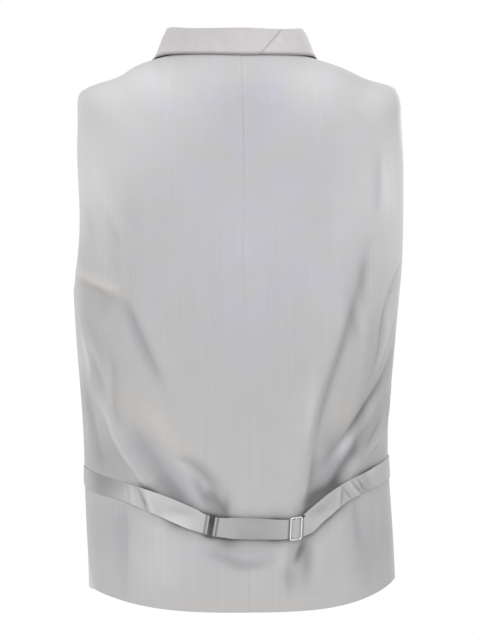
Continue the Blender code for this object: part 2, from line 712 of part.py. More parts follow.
def strap_point(along, sideways, lift):
    """A point over the smooth cloth under the strap; creases stay out from under it."""
    along, sideways, lift = np.broadcast_arrays(along, sideways, lift)
    angle, level = strap_place(along, sideways)
    return figure(angle, level) + outward(angle, level) * lift[..., None]


def strap_width(along):
    """The strap is gathered a little where it passes through the ring and the slider."""
    width = np.interp(along, STRAP_ALONG, STRAP_WIDTH)
    pinch = np.maximum(near_hardware(along, RING_ALONG), near_hardware(along, SLIDER_ALONG))
    return width + (PINCH_WIDTH - width) * pinch


STRAP_LIE = LAY_GAP + STRAP_WALL / 2  # lift of the middle of a strap that lies on the back
UPPER_LIE = STRAP_LIE + STRAP_WALL + LAY_GAP  # and of one that lies on another layer
RING_ROLL = RING.wire / 2 + LAY_GAP + STRAP_WALL / 2  # bend radius round a bar of the ring
RING_LIFT = STRAP_LIE + RING_ROLL
RING_BAR = (RING.length - RING.wire) / 2  # from the ring's middle to a long bar
SLIDER_PASS = SLIDER.wire / 2 + LAY_GAP + STRAP_WALL / 2
SLIDER_LIFT = UPPER_LIE + SLIDER_PASS
SLIDER_BAR = (SLIDER.length - SLIDER.wire) / 2
STRAP_STEP = 9.0
BEND_STEPS = 8
STRAP_COLUMNS = 3


def round_the_bar(bar_along, side):
    """Distance and lift where the strap turns round a bar of the ring, top to bottom."""
    turn = np.linspace(0, pi, BEND_STEPS + 1)
    return bar_along + side * RING_ROLL * np.sin(turn), RING_LIFT + RING_ROLL * np.cos(turn)


def left_strap_line():
    """Distance and lift of the left strap's middle, from the side seam to its tail's end."""
    bar = RING_ALONG - RING_BAR
    run = np.arange(0, bar - STRAP_STEP / 2, STRAP_STEP)
    rise = smooth_step(run, bar - 3 * TAIL_LENGTH, bar - 1.4 * TAIL_LENGTH)
    climb = smooth_step(run, bar - 0.7 * TAIL_LENGTH, bar - 3)
    run_lift = STRAP_LIE + (UPPER_LIE + LAY_GAP - STRAP_LIE) * rise
    run_lift = run_lift + (RING_LIFT + RING_ROLL - run_lift) * climb
    bend_along, bend_lift = round_the_bar(bar, 1)
    tail = np.linspace(bar - 3, bar - TAIL_LENGTH, 4)
    return (
        np.concatenate((run, bend_along, tail)),
        np.concatenate((run_lift, bend_lift, np.full(len(tail), STRAP_LIE))),
    )


def right_strap_line():
    """The right strap's middle: through the slider, round the ring and back to the slider."""
    near, far = SLIDER_ALONG - SLIDER_BAR, SLIDER_ALONG + SLIDER_BAR
    bar = RING_ALONG + RING_BAR
    run = np.arange(STRAP_END, far + STRAP_STEP / 2, -STRAP_STEP)
    rise = smooth_step(run, far + 3 * STRAP_STEP, far + STRAP_STEP / 2)
    run_lift = STRAP_LIE + (UPPER_LIE - STRAP_LIE) * rise
    weave = np.linspace(far, near, 2 * BEND_STEPS + 1)
    share = (weave - SLIDER_ALONG) / SLIDER_BAR
    weave_lift = UPPER_LIE + SLIDER_PASS * (1 + np.cos(pi * share))
    top = np.arange(near - STRAP_STEP / 2, bar + STRAP_STEP / 2, -STRAP_STEP)
    climb = smooth_step(top, bar + 2 * STRAP_STEP, bar + 3)
    top_lift = UPPER_LIE + (RING_LIFT + RING_ROLL - UPPER_LIE) * climb
    bend_along, bend_lift = round_the_bar(bar, -1)
    under = np.arange(bar + 3, near - STRAP_STEP / 2, STRAP_STEP)
    return (
        np.concatenate((run, weave, top, bend_along, under)),
        np.concatenate((run_lift, weave_lift, top_lift, bend_lift, np.full(len(under), STRAP_LIE))),
    )


def strap_grid(line):
    along, lift = line
    across = np.linspace(-0.5, 0.5, STRAP_COLUMNS + 1)
    return strap_point(along[:, None], strap_width(along)[:, None] * across, lift[:, None])


# ---- the ring and the slider --------------------------------------------------------

CORNER_STEPS = 3
BAR_SIDES = 12
BAR_SHARE = 0.9  # the middle bar is a little thinner than the frame


def rounded_rectangle(length, height, radius):
    """Points of a rounded rectangle's outline, in order, with its middle at (0, 0)."""
    points = []
    for quarter, (right, up) in enumerate(((1, 1), (-1, 1), (-1, -1), (1, -1))):
        for step in range(CORNER_STEPS + 1):
            turn = (quarter + step / CORNER_STEPS) * pi / 2
            x = right * (length / 2 - radius) + radius * np.cos(turn)
            y = up * (height / 2 - radius) + radius * np.sin(turn)
            points.append((x, y))
    return np.array(points)


def wire_curve(name, points, wire, closed, collection):
    """A tube of round wire through the points, which are in millimetres."""
    curve = bpy.data.curves.new(name, "CURVE")
    curve.dimensions = "3D"
    curve.bevel_depth = wire / 2 * MM
    curve.bevel_resolution = 2
    curve.use_fill_caps = True
    line = curve.splines.new("POLY")
    line.points.add(len(points) - 1)
    for place, point in zip(line.points, points):
        place.co = (*(point * MM), 1)
    line.use_cyclic_u = closed
    obj = bpy.data.objects.new(name, curve)
    collection.objects.link(obj)
    return obj


def curve_to_mesh(obj):
    """The curve's tube as a mesh object of the same name, with its caps welded."""
    bpy.context.view_layer.update()
    evaluated = obj.evaluated_get(bpy.context.evaluated_depsgraph_get())
    mesh = bpy.data.meshes.new_from_object(evaluated)
    welding = bmesh.new()
    welding.from_mesh(mesh)
    bmesh.ops.remove_doubles(welding, verts=welding.verts, dist=0.00001)
    welding.to_mesh(mesh)
    welding.free()
    mesh.shade_smooth()
    name, matrix, collections = obj.name, obj.matrix_world.copy(), list(obj.users_collection)
    bpy.data.objects.remove(obj)
    made = bpy.data.objects.new(name, mesh)
    made.matrix_world = matrix
    for collection in collections:
        collection.objects.link(made)
    return made


def make_wire_piece(name, piece, along, lift, material, collection, helpers):
    """A rounded wire frame with a bar up its middle, lying along the strap."""
    outline = rounded_rectangle(piece.length - piece.wire, piece.height - piece.wire, CORNER_RADIUS)
    loop = strap_point(along + outline[:, 0], outline[:, 1], lift)
    frame = curve_to_mesh(wire_curve(name, loop, piece.wire, True, collection))
    ends = np.array((-0.5, 0.5)) * (piece.height - piece.wire)
    bar_points = strap_point(along, ends, lift)
    bar_wire = piece.wire * BAR_SHARE
    bar = curve_to_mesh(wire_curve(f"{name}_bar", bar_points, bar_wire, False, helpers))
    bar.hide_render = True
    bar.display_type = "WIRE"
    frame.data.materials.clear()
    frame.data.materials.append(material)
    join = frame.modifiers.new("middle_bar", "BOOLEAN")
    join.operation = "UNION"
    join.object = bar
    return frame


# ---- the buttons --------------------------------------------------------------------

BUTTON_SIDES = 16


def button_profile():
    """Radius and height of the button's outline, down its outer side from the top."""
    top = BUTTON_THICKNESS
    return (
        (0, top - BUTTON_DISH),
        (BUTTON_RADIUS - 2 * BUTTON_RIM, top - BUTTON_DISH),
        (BUTTON_RADIUS - BUTTON_RIM, top),
        (BUTTON_RADIUS - 0.5, top - 0.2),
        (BUTTON_RADIUS, top - 0.9),
        (BUTTON_RADIUS - 1.5, 0),
        (0, 0),
    )


def make_button_mesh(material, collection, helpers):
    """A turned disc with a rim, drilled four times; the mesh is shared by every button."""
    profile = button_profile()
    mesh = bpy.data.meshes.new("button")
    mesh.from_pydata(
        [(r * MM, 0, z * MM) for r, z in profile], [(k, k + 1) for k in range(len(profile) - 1)], []
    )
    blank = bpy.data.objects.new("button_blank", mesh)
    helpers.objects.link(blank)
    blank.hide_render = True
    turn = blank.modifiers.new("turn", "SCREW")
    turn.steps = turn.render_steps = BUTTON_SIDES
    turn.use_merge_vertices = True
    turn.merge_threshold = 0.00001
    for k in range(4):
        drill_mesh = bpy.data.meshes.new("button_drill")
        drill = bmesh.new()
        place = Matrix.Translation(
            Vector((
                (k % 2 - 0.5) * BUTTON_HOLE_SPACING * MM,
                (k // 2 - 0.5) * BUTTON_HOLE_SPACING * MM,
                BUTTON_THICKNESS / 2 * MM,
            ))
        )
        bmesh.ops.create_cone(
            drill,
            cap_ends=True,
            segments=6,
            radius1=BUTTON_HOLE_RADIUS * MM,
            radius2=BUTTON_HOLE_RADIUS * MM,
            depth=3 * BUTTON_THICKNESS * MM,
            matrix=place,
        )
        drill.to_mesh(drill_mesh)
        drill.free()
        cutter = bpy.data.objects.new(f"button_drill_{k + 1}", drill_mesh)
        cutter.hide_render = True
        cutter.display_type = "WIRE"
        helpers.objects.link(cutter)
        cut = blank.modifiers.new(f"hole_{k + 1}", "BOOLEAN")
        cut.operation = "DIFFERENCE"
        cut.object = cutter
    bpy.context.view_layer.update()
    made = bpy.data.meshes.new_from_object(blank.evaluated_get(bpy.context.evaluated_depsgraph_get()))
    made.materials.clear()
    made.materials.append(material)
    blank.modifiers.clear()
    bpy.data.objects.remove(blank)
    return made


def place_button(number, height, mesh, collection):
    level = level_of(height)
    foot = cloth(180.0, level, BUTTON_LIFT)
    out = outward(180.0, level)
    button = bpy.data.objects.new(f"button_{number}", mesh)
    button.rotation_mode = "QUATERNION"
    button.rotation_quaternion = Vector(out).to_track_quat("Z", "Y")
    button.location = foot * MM
    collection.objects.link(button)
    return button


# ---- the waistcoat ------------------------------------------------------------------

def clear_scene():
    for obj in list(bpy.data.objects):
        bpy.data.objects.remove(obj, do_unlink=True)


def main():
    clear_scene()
    collection = bpy.data.collections.new("waistcoat")
    helpers = bpy.data.collections.new("cutters")
    bpy.context.scene.collection.children.link(collection)
    bpy.context.scene.collection.children.link(helpers)
    satin = new_material("back_satin", (0.55, 0.55, 0.57), 0.35)
    suiting = new_material("front_suiting", (0.62, 0.61, 0.61), 0.75)
    steel = new_material("polished_steel", (0.75, 0.75, 0.75), 0.2, 1.0)
    horn = new_material("button_plastic", (0.45, 0.45, 0.46), 0.35)

    for name, side in (("left", 1), ("right", -1)):
        side_z = HEM_SIDE_Z[name]
        back = panel_places(
            side, ARMHOLE_BACK_SCOOP, back_inner_angle, back_hem, BACK_COLUMNS, side_z
        )
        front = panel_places(
            side, -ARMHOLE_FRONT_SCOOP, front_inner_angle, front_hem, FRONT_COLUMNS, side_z
        )
        make_panel(f"back_{name}", side, back, BACK_WALL, satin, collection)
        make_panel(f"front_{name}", side, front, FRONT_WALL, suiting, collection)

    pieces = (
        ("left", LEFT_LAPEL_END, 0.0, 1),
        ("right", -RIGHT_LAPEL_END, RIGHT_LAPEL_SLANT, -1),
    )
    for name, start, slant, seam_side in pieces:
        grid = collar_points(start, slant, seam_side)
        sheet_of_cloth(f"collar_{name}", grid, COLLAR_WALL, 0, suiting, collection)

    sheet_of_cloth("strap_left", strap_grid(left_strap_line()), STRAP_WALL, 0, satin, collection)
    sheet_of_cloth("strap_right", strap_grid(right_strap_line()), STRAP_WALL, 0, satin, collection)
    make_wire_piece("strap_ring", RING, RING_ALONG, RING_LIFT, steel, collection, helpers)
    make_wire_piece("strap_slider", SLIDER, SLIDER_ALONG, SLIDER_LIFT, steel, collection, helpers)

    button_mesh = make_button_mesh(horn, collection, helpers)
    for number, height in enumerate(BUTTON_HEIGHTS, start=1):
        place_button(number, height, button_mesh, collection)


main()
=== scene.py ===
"""The looks of a worn, hollow suit waistcoat: satin back, suiting fronts and shawl collar.

Everything is worked out in millimetres on the same smooth figure as the frame's solids.
A place on the figure has an angle (0 at the centre of the back, 90 at the wearer's left
side, 180 at the centre of the front) and a level (distance up the side and then in along
the shoulder).  Each cloth piece is a closed thin shell on that figure, with a fine grid,
rounded edges, the main creases of the solids and many smaller ones.
"""

from collections import namedtuple
from math import pi

import bmesh
import bpy
import numpy as np
from mathutils import Matrix, Vector


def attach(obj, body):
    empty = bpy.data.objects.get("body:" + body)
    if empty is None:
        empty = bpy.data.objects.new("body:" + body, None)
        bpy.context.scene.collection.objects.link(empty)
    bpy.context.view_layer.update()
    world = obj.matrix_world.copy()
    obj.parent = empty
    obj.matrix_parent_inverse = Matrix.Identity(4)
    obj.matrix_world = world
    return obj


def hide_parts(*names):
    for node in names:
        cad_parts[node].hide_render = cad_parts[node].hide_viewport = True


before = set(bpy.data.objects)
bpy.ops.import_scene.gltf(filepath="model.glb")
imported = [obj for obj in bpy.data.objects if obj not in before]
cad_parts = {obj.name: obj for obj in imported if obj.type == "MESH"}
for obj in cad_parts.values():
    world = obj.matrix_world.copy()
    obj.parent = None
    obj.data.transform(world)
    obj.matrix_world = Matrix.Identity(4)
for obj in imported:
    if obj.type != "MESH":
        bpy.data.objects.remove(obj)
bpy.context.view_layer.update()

MM = 0.001


def rows(kind, text):
    """A kind for each line of text: its name, its numbers, and last its path's places."""
    made = []
    for name, *words in (line.split() for line in text.strip().split("\n")):
        numbers = [float(word) for word in words if "," not in word]
        path = [tuple(map(float, word.split(","))) for word in words if "," in word]
        made.append(kind(name, *numbers, *([path] if path else [])))
    return made


# ---- the figure ---------------------------------------------------------------------

BASE_Z = -660.0  # height of level 0, below every hem
UNDERARM_LEVEL = 392.0  # sections are flat, and level = z - BASE_Z, up to about here
TIP_LEVEL = 608.0  # outer end of the shoulder seam
NECK_LEVEL = 717.0  # inner end of the shoulder seam
SQUARENESS = 2.4  # 2 is an ellipse; more is boxier

# middle_x is how far the section sways from the centre line as the cloth hangs.
Section = namedtuple(
    "Section", "level half_width middle_x side_y side_z back_y back_z front_y front_z"
)
SECTIONS = (
    Section(0, 174, -7, 2, -660, 116, -660, -106, -660),
    Section(70, 173.5, -6, 2, -590, 112, -590, -107, -590),
    Section(160, 173, -1.5, 2, -500, 105, -500, -108, -500),
    Section(230, 172.5, 1, 2, -430, 102, -430, -109, -430),
    Section(300, 177.5, 1, 2, -360, 106, -360, -113, -360),
    Section(390, 184.5, 0, 2, -270, 115, -272, -120, -278),
    Section(470, 189.5, -2, 2, -190, 121, -212, -121, -228),
    Section(550, 189.5, -1, 3, -102, 120, -150, -110, -172),
    Section(585, 185.5, -2, 4, -64, 116, -119, -102, -140),
    Section(TIP_LEVEL, 180, -3.5, 4, -39, 110, -94, -94, -117),
    Section(637, 147.5, -6, 3, -27, 101, -69, -87, -98),
    Section(667, 122.5, -3, 3, -15, 90, -45, -77, -80),
    Section(NECK_LEVEL, 77, 0, 0, 0, 68, -1, -60, -52),
)

# ---- the cut ------------------------------------------------------------------------

BACK_WALL = 1.6  # satin and its lining
FRONT_WALL = 2.2  # suiting, canvas and lining
COLLAR_WALL = 1.6
STRAP_WALL = 1.0
SEAM_GAP = 0.02  # between pieces that are sewn edge to edge
FRONT_LAP_GAP = 0.4  # between the right front and the left one over it
COLLAR_GAP = 1.0  # between the collar's foot and the neckline, which meet at an angle
LAY_GAP = 0.35  # between a piece and what it lies on

ARMHOLE_BACK_SCOOP = 22.0  # degrees that the armhole takes out of the back
ARMHOLE_FRONT_SCOOP = 37.0  # and out of the front
ARMHOLE_ROUNDNESS = 0.62  # under 1 makes the armhole's sides straighter

HEM_BACK_Z = -619.5
HEM_SIDE_Z = {"left": -600.0, "right": -591.5}  # the cloth hangs lower on the left
HEM_SIDE_ACROSS = 169.0
HEM_CURVE = 3.2  # how late the back hem rises to the side
HEM_POINT_Z = -636.0  # lowest point of each front
HEM_POINT_ACROSS = 52.0
HEM_EDGE_Z = -584.0  # where the front edge starts to slope away
STRAIGHT_Z = -500.0  # rows of the grid are level above this
SIDE_SEAM_TURN_Z = -528.0  # below this the side seam swings to the back
SIDE_SEAM_TURN_LENGTH = 64.0
SIDE_SEAM_TURN = 16.0  # degrees

OVERLAP = 15.0  # how far each front passes the centre line
FRONT_RAISE = FRONT_WALL + FRONT_LAP_GAP  # the left front lies this far over the right
RAISE_START, RAISE_FULL = 160.0, 172.0  # degrees

# The centre back seam, which the strap pulls to the right: x at each level.
Seam = namedtuple("Seam", "level x")
CENTRE_SEAM = (
    Seam(0, -3.0),
    Seam(60, -3.5),
    Seam(160, -4.8),
    Seam(260, -3.3),
    Seam(360, 0.5),
    Seam(450, 4.2),
    Seam(550, 3.8),
    Seam(NECK_LEVEL, 1.3),
)

# The V of the left front: how far its edge is from the centre line at each level.
Edge = namedtuple("Edge", "level across")
V_EDGE = (
    Edge(365, -OVERLAP),
    Edge(390, -5),
    Edge(470, 26),
    Edge(550, 48),
    Edge(TIP_LEVEL, 61),
    Edge(667, 70),
    Edge(700, 79),
    Edge(NECK_LEVEL, 76.6),
)

# ---- the creases --------------------------------------------------------------------

# Soft folds that run from the strap up to the armholes.  A path is a list of places
# (across from the centre line, height); height is how far the cloth stands out.
Fold = namedtuple("Fold", "name height width path")
BACK_FOLDS = rows(Fold, """
left_blade_trough -4.5 8 135,-273 126,-295 110,-330 97,-357 89,-376
left_blade_ridge 3.0 12 120,-277 100,-323 84,-365 72,-395
left_armhole_ridge 3.5 7 183,-248 169,-254 148,-265 135,-274
left_armhole_trough -2.5 12 160,-180 152,-222 140,-254
left_upper_ridge 3.5 7 181,-288 166,-328 153,-359 144,-390
left_side_ridge 4.2 8 178,-322 157,-390 138,-434 121,-462 108,-480
left_side_trough -3.5 7 151,-322 145,-354 142,-400 134,-430
left_outer_trough -3.0 10 172,-378 165,-410 157,-446
left_waist_trough -6.0 12 126,-416 110,-442 87,-477 62,-502
left_pull_ridge 5.0 11 108,-400 84,-433 66,-460 54,-497
left_pull_trough -5.5 7 76,-449 61,-455 44,-470 31,-488 19,-507
left_inner_trough -3.0 7 57,-466 48,-486 40,-506
right_blade_trough -5.8 9 -136,-222 -129,-266 -115,-319 -100,-363 -87,-407 -76,-455 -65,-508
right_blade_ridge 3.0 13 -112,-285 -94,-340 -72,-395 -58,-450 -44,-500
right_mid_ridge 4.0 12 -148,-272 -137,-310 -119,-377 -102,-420 -84,-458
right_side_trough -4.4 8 -175,-322 -167,-353 -152,-379 -133,-406 -110,-432 -85,-460
right_upper_trough -3.5 7 -180,-230 -170,-263 -159,-306 -156,-335 -140,-374
right_edge_ridge 3.0 7 -172,-272 -164,-318 -155,-348 -144,-366
right_side_ridge 4.0 9 -173,-380 -160,-421 -142,-450
right_low_trough -4.0 8 -131,-424 -126,-444 -108,-467 -94,-486
right_strap_ridge 3.0 7 -118,-434 -103,-450 -91,-467 -78,-487
right_armhole_trough -3.0 9 -152,-112 -154,-140 -147,-188
left_skirt_trough -3.5 12 144,-514 146,-558 148,-600
left_skirt_ridge 3.0 14 104,-518 98,-560 94,-606
centre_skirt_smile -4.0 11 50,-552 26,-564 2,-571 -28,-564
right_skirt_trough -5.0 9 -58,-545 -46,-564 -41,-600
right_skirt_ridge 3.5 13 -84,-540 -74,-570 -70,-604
right_skirt_side_trough -2.8 11 -124,-500 -126,-530 -130,-566
""")
FRONT_FOLDS = rows(Fold, """
left_chest_trough -4.0 12 150,-278 120,-320 92,-372
left_waist_ridge 3.5 12 154,-420 112,-440 60,-446
left_skirt_trough -3.0 13 128,-500 116,-548 110,-600
right_chest_trough -4.0 12 -152,-285 -118,-330 -95,-384
right_waist_ridge 3.5 12 -150,-430 -108,-446 -58,-452
right_skirt_trough -3.0 13 -134,-508 -120,-556 -108,-604
""")
STRAP_FLAT = 20.0  # within this distance of the strap's middle it presses every ridge flat
STRAP_PRESS = 12.0  # and over this much more they come back
FINE_STRAP_FLAT = 12.0  # within this distance it presses the small ones flat too

# ---- the collar ---------------------------------------------------------------------

# At each distance from the centre of the back along the neckline: the height of the
# stand, how far over the body cloth the fall reaches, how far it is held off that cloth,
# how upright the stand is (0 lies flat) and how far the fall swells out.
CollarStation = namedtuple("CollarStation", "along stand reach clear upright bulge")
COLLAR = (
    CollarStation(0, 25.5, 5, 0.9, 1.0, 1.6),
    CollarStation(60, 26.5, 5, 0.9, 1.0, 1.8),
    CollarStation(95, 30.5, 9, 0.9, 1.0, 2.6),
    CollarStation(118, 29.5, 15, 0.9, 1.0, 2.8),
    CollarStation(145, 21.0, 28, 0.7, 0.8, 2.2),
    CollarStation(180, 11.0, 42, 0.7, 0.45, 1.6),
    CollarStation(230, 4.0, 48, 0.7, 0.1, 1.6),
    CollarStation(300, 2.6, 47, 0.7, 0.0, 1.6),
    CollarStation(370, 2.6, 33, 0.7, 0.0, 1.6),
    CollarStation(450, 2.6, 6, 0.7, 0.0, 1.6),
)
FOLD_RADIUS = 1.5  # of the collar's roll
# How far the stand leans out on the left, out on the right and forwards, for each mm of height.
COLLAR_LEAN_LEFT, COLLAR_LEAN_RIGHT, COLLAR_LEAN_FORWARD = 0.08, -0.09, 0.10
COLLAR_FALL_CURVE = 1.7  # over 1 drops the fall steeply from the roll, then flares it
COLLAR_SEAM_AT_FOLD = -45.0  # the slanting join, right of the centre of the back
COLLAR_SEAM_AT_EDGE = -19.0
LEFT_LAPEL_END = 438.0  # distance from the centre of the back
RIGHT_LAPEL_END = 427.0  # where the left front crosses over it
RIGHT_LAPEL_SLANT = 4.0  # how much sooner its outer edge ends

# ---- the strap and its hardware -----------------------------------------------------

# The strap's centre line across the back, from the left side seam to the right one.
StrapStation = namedtuple("StrapStation", "across height width")
STRAP = (
    StrapStation(173, -473, 21),
    StrapStation(153, -483, 21),
    StrapStation(132, -489, 20),
    StrapStation(115, -495, 22),
    StrapStation(94, -503, 23),
    StrapStation(62, -517, 23),
    StrapStation(41, -525, 22),
    StrapStation(20, -527.5, 23),
    StrapStation(-10, -528.5, 23),
    StrapStation(-38, -529.5, 22),
    StrapStation(-52, -528.7, 22),
    StrapStation(-62, -526.5, 20),
    StrapStation(-72, -518.5, 19),
    StrapStation(-84, -509, 19),
    StrapStation(-98, -498.5, 19),
    StrapStation(-127, -483, 20),
    StrapStation(-154, -472, 22),
    StrapStation(-173, -463, 23),
)

# The two wire pieces.  lean is how far a long bar's top leans to the wearer's right.
Wire = namedtuple("Wire", "across length height wire lean")
RING = Wire(41.0, 11.5, 26.0, 1.5, 11.0)
SLIDER = Wire(-52.0, 14.0, 25.5, 1.8, 5.5)
CORNER_RADIUS = 1.8
PINCH_WIDTH = 21.0  # the strap's width inside the hardware
PINCH_LENGTH = 8.0
TAIL_LENGTH = 24.0  # of the left strap, turned back under itself
STRAP_END_GAP = 1.0  # between the strap's ends and the side seams

# ---- the buttons --------------------------------------------------------------------

BUTTON_HEIGHTS = (-312, -372, -432, -492, -552)
BUTTON_RADIUS = 8.0
BUTTON_THICKNESS = 2.8
BUTTON_RIM = 1.6
BUTTON_DISH = 0.9
BUTTON_HOLE_RADIUS = 0.8
BUTTON_HOLE_SPACING = 3.0
BUTTON_LIFT = 0.5


# ---- smaller creases, darts and painted sheen, light and shade ----------------------

# These come on top of the main creases, and are too small for the solids.
FINE_FOLDS = rows(Fold, """
left_blade_line -1.4 3.5 134,-276 126,-295 110,-330 97,-357 90,-374
left_blade_lip 1.0 4.5 127,-272 116,-296 100,-332 88,-362
left_armhole_lip 1.4 3.0 181,-247 169,-253 148,-264 133,-273
left_armhole_shade -1.2 4.5 180,-258 166,-264 146,-275
left_upper_lip 1.4 2.6 180,-292 173,-312 158,-343 146,-378
left_upper_shade -1.0 4.0 150,-330 143,-362 139,-388
left_edge_lip 1.5 2.8 176,-326 165,-370 148,-405 138,-434 119,-466 101,-495
left_edge_shade -1.0 4.5 168,-384 152,-414 140,-442 126,-464
left_waist_shade -1.8 6.0 124,-418 110,-442 87,-477 66,-500
left_arch_ridge 1.6 4.5 84,-450 66,-462 50,-478 40,-500
left_arch_line -2.0 3.5 74,-451 61,-455 44,-470 31,-488 20,-505
left_inner_line -1.6 4.0 56,-470 48,-486 41,-502
right_blade_line -2.0 4.0 -136,-222 -129,-266 -115,-319 -100,-363 -87,-407 -76,-455 -65,-508
right_blade_lip 1.2 5.0 -122,-258 -106,-318 -90,-366 -76,-410 -66,-455
right_mid_lip 1.0 6.0 -140,-262 -128,-310 -113,-360 -100,-408
right_side_line -2.0 3.4 -171,-337 -161,-366 -143,-392 -123,-419 -98,-444
right_side_lip 1.3 4.0 -170,-366 -152,-396 -130,-424 -108,-446
right_upper_line -1.4 2.8 -179,-234 -170,-263 -161,-292 -156,-335 -142,-370
right_edge_lip 1.4 2.8 -170,-280 -163,-318 -153,-348 -143,-364
right_outer_lip 1.3 2.4 -168,-408 -158,-425 -147,-440 -139,-453
right_outer_shade -1.2 3.4 -161,-404 -151,-424 -139,-441
right_pocket_line -1.4 4.0 -130,-430 -125,-446 -108,-467 -97,-484
right_armhole_line -1.0 4.5 -153,-130 -151,-156 -147,-184
right_armhole_streak 1.0 3.5 -160,-120 -163,-160 -160,-200
centre_smile_line -1.4 4.5 46,-554 26,-564 4,-571 -26,-565
centre_smile_lip 1.0 5.0 40,-546 20,-556 0,-561 -24,-556
right_low_line -1.8 4.5 -57,-546 -45,-563 -41,-597
right_low_lip 1.2 5.0 -66,-548 -58,-572 -54,-600
left_low_line -1.0 5.0 134,-508 133,-540 135,-590
right_low_side_line -1.2 4.5 -123,-500 -125,-530 -129,-560
right_low_side_lip 1.0 4.0 -151,-500 -150,-525 -147,-556
under_strap_left -1.2 4.5 86,-522 70,-534 58,-548
under_strap_middle -1.2 6.0 26,-544 -6,-546 -40,-545
shoulder_soft_left 1.0 16.0 150,-70 110,-110 70,-180
shoulder_soft_right 1.0 16.0 -150,-70 -112,-112 -76,-176
""")

# Shade and shine along the creases: how much darker or paler the cloth is on the path, and
# over how many millimetres that fades on its left and its right, seen from behind.
Shadow = namedtuple("Shadow", "name tone left right path")
SHADOWS = rows(Shadow, """
left_arm_patch -0.07 7 5 174,-168 171,-190 166,-214
left_arm_line -0.07 5 3.4 155,-176 147,-198 136,-222
left_arm_pale 0.05 8 8 168,-128 160,-158 150,-178
left_arm_edge -0.05 5 10 136,-172 124,-192 108,-206
right_arm_streak -0.09 2.8 3.2 -151,-106 -153,-140 -150,-180
right_arm_pale 0.07 4 5 -166,-116 -167,-150 -167,-192
right_arm_pale_inner 0.04 9 6 -134,-130 -138,-160 -138,-192
right_shoulder_patch -0.06 5 5 -124,-64 -130,-76 -140,-88
left_armhole_line 0.09 1.6 2.6 183,-247 169,-254 148,-265 137,-272
left_armhole_under -0.13 30 1.6 184,-254 169,-260 150,-270 136,-281
left_blade -0.13 8 3.4 132,-278 124,-297 110,-330 97,-358 90,-376
left_side_field -0.10 16 14 178,-270 168,-310 158,-345 150,-380
left_upper_line 0.16 1.3 1.0 180,-290 173,-312 158,-343 147,-376
left_edge_line 0.13 1.7 1.1 176,-326 165,-370 148,-405 138,-434 119,-466 101,-495
left_edge_pale 0.28 4 3.5 178,-310 172,-334 165,-366
left_edge_low 0.13 2.2 1.4 142,-424 125,-457 110,-481 98,-500
left_band -0.10 3.4 1.6 149,-330 145,-354 143,-379 141,-405 137,-422
left_outer -0.12 12 6 171,-380 165,-410 159,-439 153,-462
left_sweep -0.12 9 9 130,-420 113,-444 92,-474 66,-503
left_sweep_foot -0.26 9 9 100,-468 80,-490 56,-508
left_arch -0.15 3.5 1.8 76,-450 61,-455 44,-470 31,-488 20,-505
left_arch_foot -0.45 10 4 44,-484 33,-497 22,-516
left_inner -0.16 4 5 58,-470 50,-488 40,-506
left_tuck_wedge -0.42 2.6 2.6 119,-478 109,-484 98,-491
right_blade_top -0.12 5 6 -136,-222 -133,-248 -121,-301 -106,-345
right_blade -0.11 1.6 2.8 -118,-310 -100,-363 -87,-407 -78,-447 -67,-492
right_blade_foot -0.34 2.0 15 -79,-444 -72,-478 -62,-512
right_upper -0.18 2.0 1.6 -181,-228 -175,-250 -164,-279 -157,-321 -149,-350 -141,-372
right_edge 0.08 1.4 1.8 -169,-279 -165,-303 -162,-321 -155,-344
right_edge_dark -0.10 1.2 2.4 -174,-292 -171,-320 -167,-350
right_between -0.11 14 14 -142,-290 -130,-340 -117,-392 -98,-432
right_side -0.18 3.2 3.2 -174,-330 -161,-366 -143,-392 -123,-419 -98,-444 -87,-459
right_side_core -0.14 2.6 2.2 -154,-377 -133,-406 -117,-425
right_patch -0.34 6 6 -130,-430 -126,-444 -117,-454 -103,-474 -95,-487
right_triangle -0.50 7 7 -58,-506 -78,-493 -92,-484 -112,-470
right_field -0.16 20 20 -150,-400 -138,-430 -122,-456
right_pale_strip -0.02 3 3 -114,-438 -103,-450 -91,-467 -80,-482
right_outer_line 0.10 1.2 1.0 -168,-410 -158,-425 -147,-440 -138,-454
right_outer_shade -0.12 3 2 -161,-404 -150,-424 -138,-442
right_slider_foot -0.50 2.6 4.0 -61,-541 -55,-554 -50,-567
right_low -0.18 3 6 -48,-554 -42,-576 -41,-602
right_under_soft -0.08 6 5 -122,-497 -125,-521 -129,-552
right_under_pale 0.05 3 3 -152,-497 -150,-523 -147,-560
left_low_edge -0.10 15 1.4 133,-503 132,-531 134,-564 136,-604
smile -0.12 4 6 50,-553 29,-563 5,-571 -26,-565
""")
DARKEST = -0.72  # the least tone, however many shadows lie over one another

# Tapered tucks sewn into each back panel, and into each front: a sunk line of stitching.
Dart = namedtuple("Dart", "name depth path")
BACK_DARTS = rows(Dart, """
left 0.7 144,-404 138,-437 130,-477 134,-509 139,-545 150,-601
right 0.7 -130,-408 -126,-459 -124,-492 -128,-545 -136,-601
""")
FRONT_DARTS = rows(Dart, """
left 0.6 92,-338 90,-420 88,-500 86,-606
right 0.6 -92,-338 -90,-420 -88,-500 -86,-606
""")
DART_WIDTH = 1.1
DART_LIP = 0.35  # the cloth beside the stitching stands up this much
DART_LIP_WIDTH = 3.2
